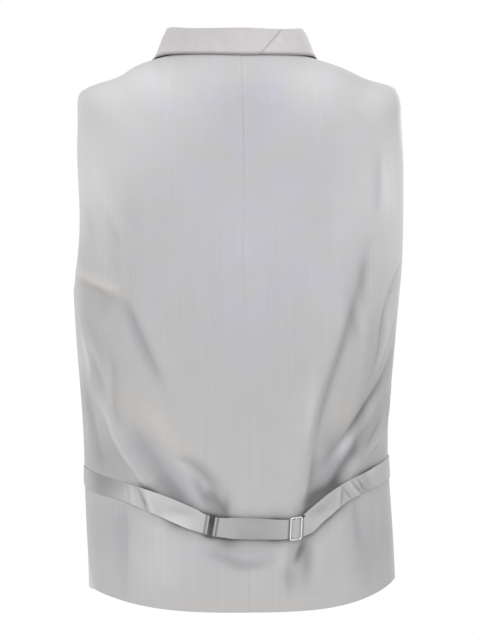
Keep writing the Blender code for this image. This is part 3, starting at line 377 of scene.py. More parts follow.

# Painted sheen, tint, light and shade in the satin's colour, as soft turned ovals: where a painted
# champagne sheen (and a warm tint along the hem) turns it warm, where lavender clouds of tint
# and painted shade in the troughs turn it cool, and where painted light and shade make it paler
# or darker than the rest: centre, size both ways, turn in degrees, amount.
Glow = namedtuple("Glow", "name across height wide tall turn amount")
WARM_SHEEN_AND_TINT = rows(Glow, """
left_waist 92 -420 46 15 40 0.50
left_waist_inner 116 -392 30 20 30 0.30
left_armhole 156 -262 30 9 30 0.6
right_waist -112 -402 13 34 30 0.55
right_inner -52 -480 14 50 0 0.25
hem 0 -612 140 14 0 0.25
""")
# Lavender: clouds of tint over the upper back, and painted shade in the folds and below the strap.
COOL_TINT_AND_SHADE = rows(Glow, """
upper_back -8 -180 112 140 0 1.05
high_middle -26 -66 44 36 0 0.8
right_middle -62 -252 36 44 0 0.55
left_middle 58 -300 60 26 0 0.35
left_blade 78 -72 30 34 0 0.5
left_sweep 92 -470 40 16 42 1.0
left_arch 42 -488 26 14 40 0.7
right_pull -98 -462 16 34 37 0.8
skirt_middle 12 -560 50 13 0 1.0
right_low -132 -526 22 34 0 0.6
left_low 140 -530 16 40 0 0.5
""")
# Painted light and shade: paler where the light falls on the neck, shoulders and upper sides,
# darker where the cloth turns away from it or lies in shadow by the strap and ring.
PAINTED_LIGHT_AND_SHADE = rows(Glow, """
neck 0 -34 160 55 0 0.25
collar_left 40 16 70 26 0 -0.16
collar_right -60 16 50 26 0 0.03
left_shoulder 152 -118 44 50 0 0.12
right_shoulder -156 -112 44 50 0 0.12
left_edge 188 -170 34 90 0 0.26
right_edge -188 -170 40 90 0 0.42
right_neck -88 -27 42 30 -25 0.17
left_neck 114 -27 38 26 25 0.20
left_tip 158 -40 34 18 25 0.17
right_tip -160 -40 32 18 -25 0.16
high_middle -2 -50 62 36 0 -0.20
middle -20 -212 100 98 0 0.085
left_middle 14 -100 46 40 0 -0.05
right_blade -118 -180 26 50 0 0.11
right_crease_top -131 -254 6 30 -6 -0.15
left_blade 149 -185 14 34 0 0.07
left_under_arm 177 -225 14 34 0 -0.10
left_flank 177 -342 12 30 0 0.10
left_flank_inner 147 -362 6 36 0 0.11
left_hip 177 -388 12 28 0 -0.12
left_over_strap 148 -452 30 26 20 -0.16
right_flank -131 -346 8 34 4 0.17
right_flank_low -121 -392 8 30 12 0.18
right_flank_high -122 -302 6 34 -10 -0.15
right_pull_edge -73 -404 7 40 5 0.13
right_pull_light -113 -438 7 16 30 0.16
right_hip -143 -404 7 24 0 0.12
right_skirt_side -137 -560 18 34 0 -0.09
right_pull_root -95 -444 11 28 0 -0.22
right_skirt_fold -67 -562 7 24 5 -0.36
right_skirt_foot -54 -586 7 10 0 -0.06
right_skirt_lip -44 -562 9 14 0 0.20
under_ring 20 -545 12 9 0 -0.22
under_strap -8 -553 34 10 0 -0.07
over_ring 21 -503 5 9 0 -0.28
left_strap_end 140 -478 28 13 12 -0.11
right_inner -100 -270 40 60 0 0.07
left_waist 152 -335 30 60 0 -0.05
right_waist -140 -400 30 60 0 -0.15
left_low 150 -520 30 50 0 -0.06
left_skirt 100 -562 35 35 0 0.10
right_low -150 -540 30 50 0 -0.08
right_underarm -176 -262 26 50 0 0.08
""")

# How deep the centre back seam is sunk at each height, as a share of half the wall.
Sunk = namedtuple("Sunk", "height share")
SEAM_SINK = (
    Sunk(-640, 0.18),
    Sunk(-611, 0.18),
    Sunk(-579, 0.22),
    Sunk(-557, 0.10),
    Sunk(-469, 0.10),
    Sunk(-430, 0.14),
    Sunk(-375, 0.06),
    Sunk(-304, 0.10),
    Sunk(-255, 0.17),
    Sunk(-211, 0.18),
    Sunk(-173, 0.10),
    Sunk(-140, 0.22),
    Sunk(-107, 0.22),
    Sunk(-74, 0.32),
    Sunk(-47, 0.12),
    Sunk(-25, 0.36),
    Sunk(0, 0.36),
)
# Painted shade along the line of the centre back seam, and a painted highlight on the cloth
# pressed open beside it.
SEAM_SHADE, SEAM_SHADE_WIDTH = -0.30, 0.40  # the line of the seam
SEAM_LIP, SEAM_LIP_WIDTH = 0.07, 3.0  # and the paler cloth pressed open beside it

# Painted shade and highlight on the folds: how much darker each millimetre of a trough is painted,
# and how much paler each one of a ridge; FINE_TONE paints both on the small creases.
TROUGH_TONE, RIDGE_TONE, FINE_TONE = 0.008, 0.006, 0.015

# Painted shadow that the strap's edges throw on the back, and painted light where that shadow is
# paled (amount over 0): side is 1 for its upper edge.
StrapShade = namedtuple("StrapShade", "name across side amount reach")
STRAP_SHADES = rows(StrapShade, """
left_end_over 154 1 0.16 22
left_end_under 150 -1 0.18 24
left_tuck 110 1 -0.55 12
left_run 76 1 -0.45 26
by_ring 44 1 -0.60 14
beyond_ring 22 1 -0.62 13
between -14 1 -0.55 28
before_slider -34 1 -0.50 13
by_slider -62 1 -0.55 16
right_run -98 1 -0.50 28
right_pocket -146 1 -0.62 16
under_left 72 -1 -0.50 12
under_ring 28 -1 -0.60 22
under_between -22 -1 -0.40 30
under_slider -32 -1 -0.30 10
under_right -86 -1 -0.45 26
under_all 0 -1 -0.12 130
""")
SHADE_NEAR, SHADE_FAR = 2.6, 8.0  # mm that the shadow's dark and its soft part reach
SHADE_NEAR_SHARE = 0.6


# ---- small helpers ------------------------------------------------------------------

def columns_of(table):
    """The table's columns as arrays, by name."""
    return {name: np.array(values, float) for name, values in zip(table[0]._fields, zip(*table))}


def spline(knots, values, at):
    """The natural cubic curve through the values at the knots, read at the given places.

    Between two knots g apart, t and g - t from them, the curve is
    (b0 (g - t)^3 + b1 t^3) / 6g + (v0 / g - b0 g / 6)(g - t) + (v1 / g - b1 g / 6) t,
    where the bends b make its slope run on through every knot.
    """
    knots, values, at = (np.asarray(v, float) for v in (knots, values, at))
    gaps = np.diff(knots)
    slopes = np.diff(values) / gaps
    system = np.eye(len(knots))
    wanted = np.zeros(len(knots))
    for k in range(1, len(knots) - 1):
        system[k, k - 1 : k + 2] = gaps[k - 1], 2 * (gaps[k - 1] + gaps[k]), gaps[k]
        wanted[k] = 6 * (slopes[k] - slopes[k - 1])
    bend = np.linalg.solve(system, wanted)
    i = np.clip(np.searchsorted(knots, at) - 1, 0, len(knots) - 2)
    gap, t = gaps[i], at - knots[i]
    rest = gap - t
    return (
        (bend[i] * rest**3 + bend[i + 1] * t**3) / (6 * gap)
        + (values[i] / gap - bend[i] * gap / 6) * rest
        + (values[i + 1] / gap - bend[i + 1] * gap / 6) * t
    )


def smooth_step(value, start, full):
    """0 before start, 1 after full, and t^2 (3 - 2 t) at a share t of the way between them."""
    t = np.clip((np.asarray(value, float) - start) / (full - start), 0, 1)
    return t * t * (3 - 2 * t)


def bell(offset, reach):
    """e^-(offset / reach)^2: 1 in the middle, and fading over reach on both sides."""
    return np.exp(-((offset / reach) ** 2))


def faded_ends(share, margin, power):
    """sin(pi share)^power along a path, the same all through its margin at both ends."""
    return np.sin(pi * np.clip(share, margin, 1 - margin)) ** power


def unit(vectors):
    """The vectors over their lengths."""
    return vectors / np.linalg.norm(vectors, axis=-1, keepdims=True)


def added(name, data):
    """A new object of this data, in the scene."""
    obj = bpy.data.objects.new(name, data)
    bpy.context.scene.collection.objects.link(obj)
    return obj


# ---- the figure ---------------------------------------------------------------------

SECTION_COLUMNS = columns_of(SECTIONS)
SLOPE_STEP = 0.25


def section(name, level):
    """One measure of the sections at this level: its spline over their levels."""
    return spline(SECTION_COLUMNS["level"], SECTION_COLUMNS[name], level)


def rounded_square(angle):
    """Sine and cosine of the angle, each over (|sine|^n + |cosine|^n)^(1/n), n SQUARENESS."""
    sine, cosine = np.sin(np.radians(angle)), np.cos(np.radians(angle))
    reach = (np.abs(sine) ** SQUARENESS + np.abs(cosine) ** SQUARENESS) ** (-1 / SQUARENESS)
    return sine * reach, cosine * reach


def figure(angle, level):
    """The smooth figure's point at this angle and level.

    x is the section's middle plus its half width times the rounded sine.  y goes from the
    side's to the back's or the front's by the rounded cosine, and z by its square.
    """
    angle, level = np.broadcast_arrays(np.asarray(angle, float), np.asarray(level, float))
    sine, cosine = rounded_square(angle)
    on_back = cosine > 0
    side_y, side_z = section("side_y", level), section("side_z", level)
    end_y = np.where(on_back, section("back_y", level), section("front_y", level))
    end_z = np.where(on_back, section("back_z", level), section("front_z", level))
    return np.stack(
        (
            section("middle_x", level) + section("half_width", level) * sine,
            side_y + (end_y - side_y) * np.abs(cosine),
            side_z + (end_z - side_z) * cosine**2,
        ),
        axis=-1,
    )


def slopes_of_figure(angle, level):
    """How the figure's point moves with one degree of angle, and with one unit of level.

    Each is the difference of the points SLOPE_STEP either way, over twice that step.
    """
    angle, level = np.broadcast_arrays(np.asarray(angle, float), np.asarray(level, float))
    step = SLOPE_STEP
    by_angle = (figure(angle + step, level) - figure(angle - step, level)) / (2 * step)
    by_level = (figure(angle, level + step) - figure(angle, level - step)) / (2 * step)
    return by_angle, by_level


def outward(angle, level):
    """The figure's unit normal: its slope by level crossed with its slope by angle."""
    by_angle, by_level = slopes_of_figure(angle, level)
    return unit(np.cross(by_level, by_angle))


def angle_at(across, level, on_back):
    """The angle whose point on this section is that far across from the centre line.

    Its rounded sine is across over the half width, and its cosine (1 - |sine|^n)^(1/n).
    """
    sine = np.clip(np.asarray(across, float) / section("half_width", level), -1, 1)
    cosine = (1 - np.abs(sine) ** SQUARENESS) ** (1 / SQUARENESS)
    if on_back:
        return np.degrees(np.arctan2(sine, cosine))
    return 180 - np.degrees(np.arctan2(sine, cosine))


def level_of(height):
    """The level of a height below the underarm, where the sections are flat."""
    return np.asarray(height, float) - BASE_Z


# ---- creases ------------------------------------------------------------------------

MM_PER_DEGREE = 2.6  # round the body, near enough to measure creases with
PATH_STEPS = 20
# How each kind of line fades to its ends: the margin and the power of faded_ends.
FOLD_ENDS, DART_ENDS, SHADOW_ENDS, TUCK_ENDS = (0.04, 0.7), (0.02, 0.3), (0.02, 0.6), (0.12, 0.5)


def offset_from_path(places, path):
    """Distance from each place to a broken line, under 0 on one side, and how far along it is.

    The distance is over 0 to the viewer's left of a line that runs down the back.
    """
    nearest = np.full(places.shape[:-1], np.inf)
    side = np.ones(places.shape[:-1])
    along = np.zeros(places.shape[:-1])
    parts = len(path) - 1
    for k in range(parts):
        start, run = path[k], path[k + 1] - path[k]
        share = np.clip(((places - start) @ run) / (run @ run), 0, 1)
        off = places - (start + share[..., None] * run)
        distance = np.linalg.norm(off, axis=-1)
        closer = distance < nearest
        nearest = np.where(closer, distance, nearest)
        turned = run[0] * off[..., 1] - run[1] * off[..., 0]
        side = np.where(closer, np.where(turned < 0, -1.0, 1.0), side)
        along = np.where(closer, (k + share) / parts, along)
    return nearest * side, along


def distance_to_path(places, path):
    """Distance from each place to a broken line, and how far along the line that is (0 to 1)."""
    offset, along = offset_from_path(places, path)
    return np.abs(offset), along


def smooth_path(places):
    """A smooth line of PATH_STEPS parts through a few places."""
    places = np.array(places, float)
    knots = np.arange(len(places), dtype=float)
    at = np.linspace(0, len(places) - 1, PATH_STEPS + 1)
    return np.stack([spline(knots, places[:, k], at) for k in range(2)], axis=-1)


def unrolled_path(path, on_back):
    """A path of (across, height) as (millimetres round the body, height)."""
    line = smooth_path(path)
    level = np.minimum(level_of(line[:, 1]), TIP_LEVEL)
    angle = angle_at(line[:, 0], level, on_back)
    if not on_back:
        angle = np.where(angle > 180, angle - 360, angle)
    return np.stack((angle * MM_PER_DEGREE, line[:, 1]), axis=-1)


def unrolled_lines(back_rows, front_rows=()):
    """Each row with its unrolled path; a right front's is unrolled on the left and turned over."""
    lines = [(row, unrolled_path(row.path, True)) for row in back_rows]
    for row in front_rows:
        line = unrolled_path([(abs(across), height) for across, height in row.path], False)
        lines.append((row, line * (np.sign(row.path[0][0]), 1)))
    return lines


STRAP_LINE = unrolled_path([(s.across, s.height) for s in STRAP], True)
FOLD_LINES = unrolled_lines(BACK_FOLDS, FRONT_FOLDS)
FINE_LINES = unrolled_lines(FINE_FOLDS)
SHADOW_LINES = unrolled_lines(SHADOWS)
DART_LINES = unrolled_lines(BACK_DARTS, FRONT_DARTS)


def laid_folds(lines, places):
    """The sum of the folds' heights at each place."""
    moved = np.zeros(places.shape[:-1])
    for fold, line in lines:
        distance, along = distance_to_path(places, line)
        moved += fold.height * bell(distance, fold.width) * faded_ends(along, *FOLD_ENDS)
    return moved


def unrolled_places(angle, level):
    """Places as (millimetres round the body, height)."""
    angle, level = np.broadcast_arrays(np.asarray(angle, float), np.asarray(level, float))
    return np.stack((angle * MM_PER_DEGREE, figure(angle, level)[..., 2]), axis=-1)


def pressed_folds(lines, places, flat, whole):
    """The folds, with ridges pressed flat near the strap's middle, and the share left of them.

    That share is 0 within flat of the strap's middle and 1 beyond whole.
    """
    moved = laid_folds(lines, places)
    to_strap, _ = distance_to_path(places, STRAP_LINE)
    free = smooth_step(to_strap, flat, whole)
    return np.minimum(moved, 0) + np.maximum(moved, 0) * free, free


def crease(angle, level):
    """How far the creases move the cloth out from the figure."""
    places = unrolled_places(angle, level)
    return pressed_folds(FOLD_LINES, places, STRAP_FLAT, STRAP_FLAT + STRAP_PRESS)[0]


def detail(angle, level):
    """How far the small creases and the darts' stitching move the cloth out."""
    places = unrolled_places(angle, level)
    moved, free = pressed_folds(FINE_LINES, places, FINE_STRAP_FLAT, STRAP_FLAT)
    for dart, line in DART_LINES:
        distance, along = distance_to_path(places, line)
        lip = DART_LIP * bell(distance, DART_LIP_WIDTH) * free
        sunk = dart.depth * bell(distance, DART_WIDTH)
        moved += (lip - sunk) * faded_ends(along, *DART_ENDS)
    return moved


def strap_shade(places):
    """How much darker the back is painted beside the strap's edges, as their shadow (paler where
    an amount is over 0).
    """
    distance, share = distance_to_path(places, STRAP_LINE)
    line_height = np.interp(-places[..., 0], -STRAP_LINE[:, 0], STRAP_LINE[:, 1])
    side = np.sign(places[..., 1] - line_height)
    off = np.maximum(distance - PINCH_WIDTH / 2, 0)
    near = SHADE_NEAR_SHARE * bell(off, SHADE_NEAR) + (1 - SHADE_NEAR_SHARE) * bell(off, SHADE_FAR)
    across = np.interp(share, np.linspace(0, 1, len(STRAP)), [s.across for s in STRAP])
    total = np.zeros(near.shape)
    for shade in STRAP_SHADES:
        along = bell(across - shade.across, shade.reach)
        total += shade.amount * along * near * (side == shade.side)
    return total


def laid_shadows(places):
    """The sum of the shadows' tones at each place."""
    total = np.zeros(places.shape[:-1])
    for shadow, line in SHADOW_LINES:
        offset, along = offset_from_path(places, line)
        reach = np.where(offset > 0, shadow.left, shadow.right)
        total += shadow.tone * bell(offset, reach) * faded_ends(along, *SHADOW_ENDS)
    return total


def fold_tone(angle, level, on_back):
    """The painted light and shade of the folds: how much paler or darker they make the cloth."""
    places = unrolled_places(angle, level)
    moved = crease(angle, level)
    tone = np.minimum(moved, 0) * TROUGH_TONE + np.maximum(moved, 0) * RIDGE_TONE
    if on_back:
        tone += laid_folds(FINE_LINES, places) * FINE_TONE + laid_shadows(places)
        tone = np.maximum(tone + strap_shade(places), DARKEST)
    return tone


def front_raise(angle):
    """How far the left front is lifted to lie over the right one."""
    return FRONT_RAISE * smooth_step(angle, RAISE_START, RAISE_FULL)


SHOULDER_DROP, SHOULDER_DROP_REACH = 3.0, 18.0  # of the left shoulder's end, in mm
SHOULDER_DROP_ABOVE = 4.0  # how far above the tip it is most
SHOULDER_DROP_SIDE = 8  # the higher, the closer it stays to the side


def shoulder_drop(angle, level):
    """The end of the left shoulder hangs lower: a bell in level times sine(angle)^8."""
    from_end = level - TIP_LEVEL - SHOULDER_DROP_ABOVE
    at_side = np.clip(np.sin(np.radians(angle)), 0, 1) ** SHOULDER_DROP_SIDE
    return SHOULDER_DROP * bell(from_end, SHOULDER_DROP_REACH) * at_side


def cloth(angle, level, lift=0.0):
    """The outer face of the body cloth, moved out by lift."""
    out = crease(angle, level) + detail(angle, level) + front_raise(angle) + lift
    place = figure(angle, level) + outward(angle, level) * np.asarray(out)[..., None]
    place[..., 2] -= shoulder_drop(angle, level)
    return place


# ---- shader nodes -------------------------------------------------------------------

class Socket:
    """A shader output that can be added, multiplied and so on; each step is a Math node."""

    def __init__(self, tree, output):
        self.tree, self.output = tree, output

    def math(self, operation, *others):
        """A Math node of this operation on the socket and the others."""
        node = self.tree.nodes.new("ShaderNodeMath")
        node.operation = operation
        for slot, value in zip(node.inputs, (self, *others)):
            if isinstance(value, Socket):
                self.tree.links.new(value.output, slot)
            else:
                slot.default_value = value
        return Socket(self.tree, node.outputs[0])

    def __add__(self, other):
        return self.math("ADD", other)

    def __sub__(self, other):
        return self.math("SUBTRACT", other)

    def __mul__(self, other):
        return self.math("MULTIPLY", other)

    __radd__, __rmul__ = __add__, __mul__

    def __rsub__(self, other):
        return self * -1.0 + other


MIX_FIRST, MIX_SECOND, MIX_RESULT = 6, 7, 2  # a Mix node's sockets when it mixes colours


class Shader:
    """A Principled material and the nodes that drive it."""

    def __init__(self, name, **constants):
        self.material = bpy.data.materials.new(name)
        self.material.use_nodes = True
        self.tree = self.material.node_tree
        self.principled = self.tree.nodes["Principled BSDF"]
        for socket, value in constants.items():
            self.principled.inputs[socket.replace("_", " ")].default_value = value

    def node(self, kind, inputs=None, **settings):
        """A node of this kind with its inputs linked or set; the node is returned."""
        made = self.tree.nodes.new(kind)
        for name, value in settings.items():
            setattr(made, name, value)
        for name, value in (inputs or {}).items():
            self.feed(made.inputs[name], value)
        return made

    def feed(self, slot, value):
        """Link a socket to the slot, or set a plain value on it."""
        if isinstance(value, Socket):
            self.tree.links.new(value.output, slot)
        else:
            slot.default_value = value

    def out(self, node, name=0):
        return Socket(self.tree, node.outputs[name])

    def cloth_place(self):
        """Place on the flat cloth in millimetres, across and along."""
        return self.out(self.node("ShaderNodeUVMap", uv_map="cloth"))

    def object_place(self):
        """Place in the shared frame, in metres."""
        return self.out(self.node("ShaderNodeTexCoord"), "Object")

    def split(self, vector):
        """The vector's first two parts."""
        parts = self.node("ShaderNodeSeparateXYZ", {0: vector})
        return self.out(parts, "X"), self.out(parts, "Y")

    def noise(self, vector, scale, detail=2.0, stretch=(1, 1, 1)):
        """Noise from 0 to 1 with features of about 1 / scale."""
        mapped = self.node("ShaderNodeMapping", {"Vector": vector, "Scale": stretch})
        made = self.node(
            "ShaderNodeTexNoise", {"Vector": self.out(mapped), "Scale": scale, "Detail": detail}
        )
        return self.out(made, "Fac")

    def attribute(self, name):
        """A number kept on the piece's points."""
        return self.out(self.node("ShaderNodeAttribute", attribute_name=name), "Fac")

    def mix(self, share, first, second):
        """The first colour where share is 0, and the second where it is 1."""
        colours = {MIX_FIRST: first, MIX_SECOND: second}
        made = self.node("ShaderNodeMix", {"Factor": share, **colours}, data_type="RGBA")
        return self.out(made, MIX_RESULT)

    def shaded(self, colour, share):
        """The colour times share."""
        parts = {"Vector": colour, "Scale": share}
        return self.out(self.node("ShaderNodeVectorMath", parts, operation="SCALE"))

    def colour(self, value):
        self.feed(self.principled.inputs["Base Color"], value)

    def roughness(self, value):
        self.feed(self.principled.inputs["Roughness"], value)

    def bump(self, height, distance):
        """height is 0 to 1 for a relief of distance millimetres."""
        made = self.node("ShaderNodeBump", {"Height": height, "Distance": distance * MM})
        self.feed(self.principled.inputs["Normal"], self.out(made))


def rgba(red, green, blue):
    return (red, green, blue, 1.0)


# SATIN_WARM is the painted champagne sheen, SATIN_COOL the lavender of the tint clouds and of
# painted shade.
SATIN_MID = rgba(0.57, 0.57, 0.575)
SATIN_WARM = rgba(0.62, 0.575, 0.53)
SATIN_COOL = rgba(0.56, 0.55, 0.605)
SUITING = rgba(0.675, 0.655, 0.66)
SUITING_WARM = rgba(0.675, 0.635, 0.64)
LINING = rgba(0.60, 0.60, 0.61)
BUTTON_DARK, BUTTON_PALE = rgba(0.36, 0.355, 0.36), rgba(0.60, 0.59, 0.59)
# Ring and slider are one polished steel: the ring's colour is painted dark for the dark
# reflections it shows, and the slider's white for its bright ones.
RING_STEEL_PAINTED_DARK, SLIDER_STEEL_PAINTED_BRIGHT = rgba(0.16, 0.16, 0.17), rgba(1.0, 1.0, 1.0)
GREY_THREAD = rgba(0.56, 0.55, 0.56)
BUTTON_STREAKS = (1.0, 1.0, 0.3)  # the streaks run up and down
STRIPE_WIDTH = 3.1  # mm from one self stripe to the next
RIB_WIDTH = 2.1
TWILL_WIDTH = 0.9
# Stretch of each pattern: its features are 1 / stretch as long along the cloth as across.
# The scales of noise are in features per mm on cloth, and per metre on wire and buttons.
FLOATS, THREADS, STRIPE_GROUPS = (1.0, 0.12, 1.0), (1.0, 0.006, 1.0), (1.0, 0.12, 1.0)
YARNS, PATCHES, SATIN_MOTTLE, WOOL_MOTTLE = (
    (1.0, along, 1.0) for along in (0.25, 0.5, 0.7, 0.6)
)
SATIN_RELIEF, WOOL_RELIEF, LINING_RELIEF = 0.035, 0.06, 0.03  # mm
METAL_RELIEF, BUTTON_RELIEF, THREAD_RELIEF = 0.01, 0.01, 0.03
# The strap is cut from the back's satin; it is painted paler for the brighter sheen it shows.
STRAP_TONE = 1.04  # the strap's satin is this much paler than the back's
RING_ROUGHNESS, SLIDER_ROUGHNESS = 0.14, 0.36


def satin_material(name, tone=1.0):
    """Satin: smooth along its floats, with faint uneven stripes that come and go, and clouds."""
    shader = Shader(name, Sheen_Weight=0.25, Sheen_Roughness=0.4, Specular_IOR_Level=0.32)
    place = shader.cloth_place()
    across, _ = shader.split(place)
    wave = (across * (2 * pi / STRIPE_WIDTH)).math("SINE")
    patches = shader.noise(place, 0.02, 2.0, PATCHES)
    groups = ((shader.noise(place, 0.045, 2.0, STRIPE_GROUPS) - 0.42) * 3.0).math("MAXIMUM", 0.0)
    clouds = shader.noise(place, 0.021, 4.0)
    floats = shader.noise(place, 1.6, 3.0, FLOATS)
    threads = shader.noise(place, 0.60, 2.0, THREADS) - 0.5
    mottle = shader.noise(place, 0.055, 3.0, SATIN_MOTTLE) - 0.5
    stripes = (0.16 * wave + threads) * (groups + 0.25)
    shade = 0.17 * stripes + 0.02 * floats + 0.02 * patches + 0.09 * clouds + 0.925
    # The piece's tone attribute is painted light and shade, and the tone argument paints the
    # strap's satin paler for its brighter sheen; the next two attributes paint a champagne sheen,
    # and lavender tint with painted shade.
    shade = (shade + 0.05 * mottle) * (1 + shader.attribute("tone")) * tone
    warm = shader.mix(shader.attribute("warm_sheen_and_tint"), SATIN_MID, SATIN_WARM)
    cool_tint_and_shade = shader.attribute("cool_tint_and_shade") * ((clouds - 0.37) * 4.6)
    tinted = shader.mix(cool_tint_and_shade.math("MAXIMUM", 0.0), warm, SATIN_COOL)
    shader.colour(shader.shaded(tinted, shade))
    shader.roughness(0.10 * patches + 0.06 * clouds + 0.40)
    shader.bump(0.5 * floats + 0.25 * wave + 0.6 * threads, SATIN_RELIEF)
    return shader.material


def suiting_material(name):
    """A fine worsted: faint vertical ribs crossed by the weave, with a soft nap."""
    shader = Shader(name, Sheen_Weight=0.35, Sheen_Roughness=0.5, Specular_IOR_Level=0.3)
    place = shader.cloth_place()
    across, along = shader.split(place)
    rib = (across * (2 * pi / RIB_WIDTH)).math("SINE")
    twill = ((across + along) * (2 * pi / TWILL_WIDTH)).math("SINE")
    yarns = shader.noise(place, 0.9, 3.0, YARNS)
    patches = shader.noise(place, 0.03, 2.0)
    mottle = shader.noise(place, 0.11, 4.0, WOOL_MOTTLE)
    shade = 0.022 * rib + 0.016 * twill + 0.07 * yarns + 0.06 * patches + 0.865
    # The tone attribute is painted light and shade: on the folds, along the collar's join and over
    # the back of the collar.
    shade = (shade + 0.14 * mottle) * (1 + shader.attribute("tone"))
    shader.colour(shader.shaded(shader.mix(mottle, SUITING_WARM, SUITING), shade))
    shader.roughness(0.12 * yarns + 0.68)
    shader.bump(0.3 * rib + 0.3 * twill + 0.4 * yarns, WOOL_RELIEF)
    return shader.material


def lining_material(name):
    """The plain satin lining that shows inside the neck, the armholes and the hem."""
    shader = Shader(name, Sheen_Weight=0.1, Specular_IOR_Level=0.45)
    place = shader.cloth_place()
    floats = shader.noise(place, 1.4, 3.0, FLOATS)
    patches = shader.noise(place, 0.02, 2.0)
    shader.colour(shader.shaded(LINING[:3], 0.04 * floats + 0.08 * patches + 0.94))
    shader.roughness(0.1 * patches + 0.38)
    shader.bump(floats, LINING_RELIEF)
    return shader.material


def metal_material(name, colour, roughness):
    """Polished wire with faint drawing marks and slightly worn patches."""
    shader = Shader(name, Metallic=1.0)
    place = shader.object_place()
    marks = shader.noise(place, 900.0, 3.0)
    wear = shader.noise(place, 160.0, 2.0)
    shader.colour(shader.shaded(colour[:3], 0.16 * wear + 0.90))
    shader.roughness(0.10 * marks + 0.08 * wear + roughness)
    shader.bump(marks, METAL_RELIEF)
    return shader.material


def button_material(name):
    """Moulded button: cloudy grey streaks under a soft gloss."""
    shader = Shader(name, Coat_Weight=0.25, Coat_Roughness=0.2)
    place = shader.object_place()
    clouds = shader.noise(place, 140.0, 4.0, BUTTON_STREAKS)
    shader.colour(shader.mix(clouds, BUTTON_DARK, BUTTON_PALE))
    shader.roughness(0.12 * clouds + 0.26)
    shader.bump(shader.noise(place, 1200.0, 2.0), BUTTON_RELIEF)
    return shader.material


def thread_material(name, colour):
    """Twisted thread: a slanting lay and a little fuzz."""
    shader = Shader(name, Sheen_Weight=0.3)
    twist = shader.noise(shader.object_place(), 2600.0, 2.0)
    shader.colour(shader.shaded(colour[:3], 0.3 * twist + 0.82))
    shader.roughness(0.2 * twist + 0.5)
    shader.bump(twist, THREAD_RELIEF)
    return shader.material


# ---- thin shells of cloth -----------------------------------------------------------

RIM_SHARES = (0.0, 0.08, 0.3, 0.62, 1.0)
SEWN_RADIUS = 0.3  # how close to the centre back seam its sunk part stays


def rim_places(length, spacing, radius):
    """Places from 0 to 1 along a strip: spacing apart, but close together at both rims."""
    near = radius * np.array(RIM_SHARES)
    count = max(2, round((length - 2 * radius) / spacing))
    middle = np.linspace(radius, length - radius, count + 1)[1:-1]
    return np.concatenate((near, middle, length - near[::-1])) / length


def grid_normals(grid):
    """Unit normals of a grid of points, rows running up and columns to the viewer's right."""
    by_row = np.gradient(grid, axis=0)
    by_column = np.gradient(grid, axis=1)
    return unit(np.cross(by_column, by_row))


def run_lengths(grid, axis):
    """Distance run along each row or column of the grid, from its first point."""
    steps = np.linalg.norm(np.diff(grid, axis=axis), axis=-1)
    return np.insert(np.cumsum(steps, axis=axis), 0, 0.0, axis=axis)


def glow_amount(glows, points):
    """Sum of soft turned ovals: amount e^(-(p / wide)^2 - (q / tall)^2) in the oval's frame."""
    total = np.zeros(points.shape[:-1])
    for glow in glows:
        across, height = points[..., 0] - glow.across, points[..., 2] - glow.height
        turn = np.radians(glow.turn)
        p = across * np.cos(turn) + height * np.sin(turn)
        q = -across * np.sin(turn) + height * np.cos(turn)
        total += glow.amount * np.exp(-((p / glow.wide) ** 2) - (q / glow.tall) ** 2)
    return total


def both_faces(values):
    """Values of the outer face's points, then of the inner face's, which shares its border."""
    parts = values, values[1:-1, 1:-1]
    return np.concatenate([part.reshape(-1, *values.shape[2:]) for part in parts])


def shell_faces(rows, columns):
    """Quads of the outer face and then of the inner face, which is turned the other way."""
    index = np.arange(rows * columns).reshape(rows, columns)
    inner = index.copy()
    inner[1:-1, 1:-1] = rows * columns + np.arange((rows - 2) * (columns - 2)).reshape(
        rows - 2, columns - 2
    )
    faces = []
    for i, turned in ((index, 1), (inner, -1)):
        around = (i[:-1, :-1], i[:-1, 1:], i[1:, 1:], i[1:, :-1])[::turned]
        faces.append(np.stack(around, axis=-1).reshape(-1, 4))
    return np.concatenate(faces)


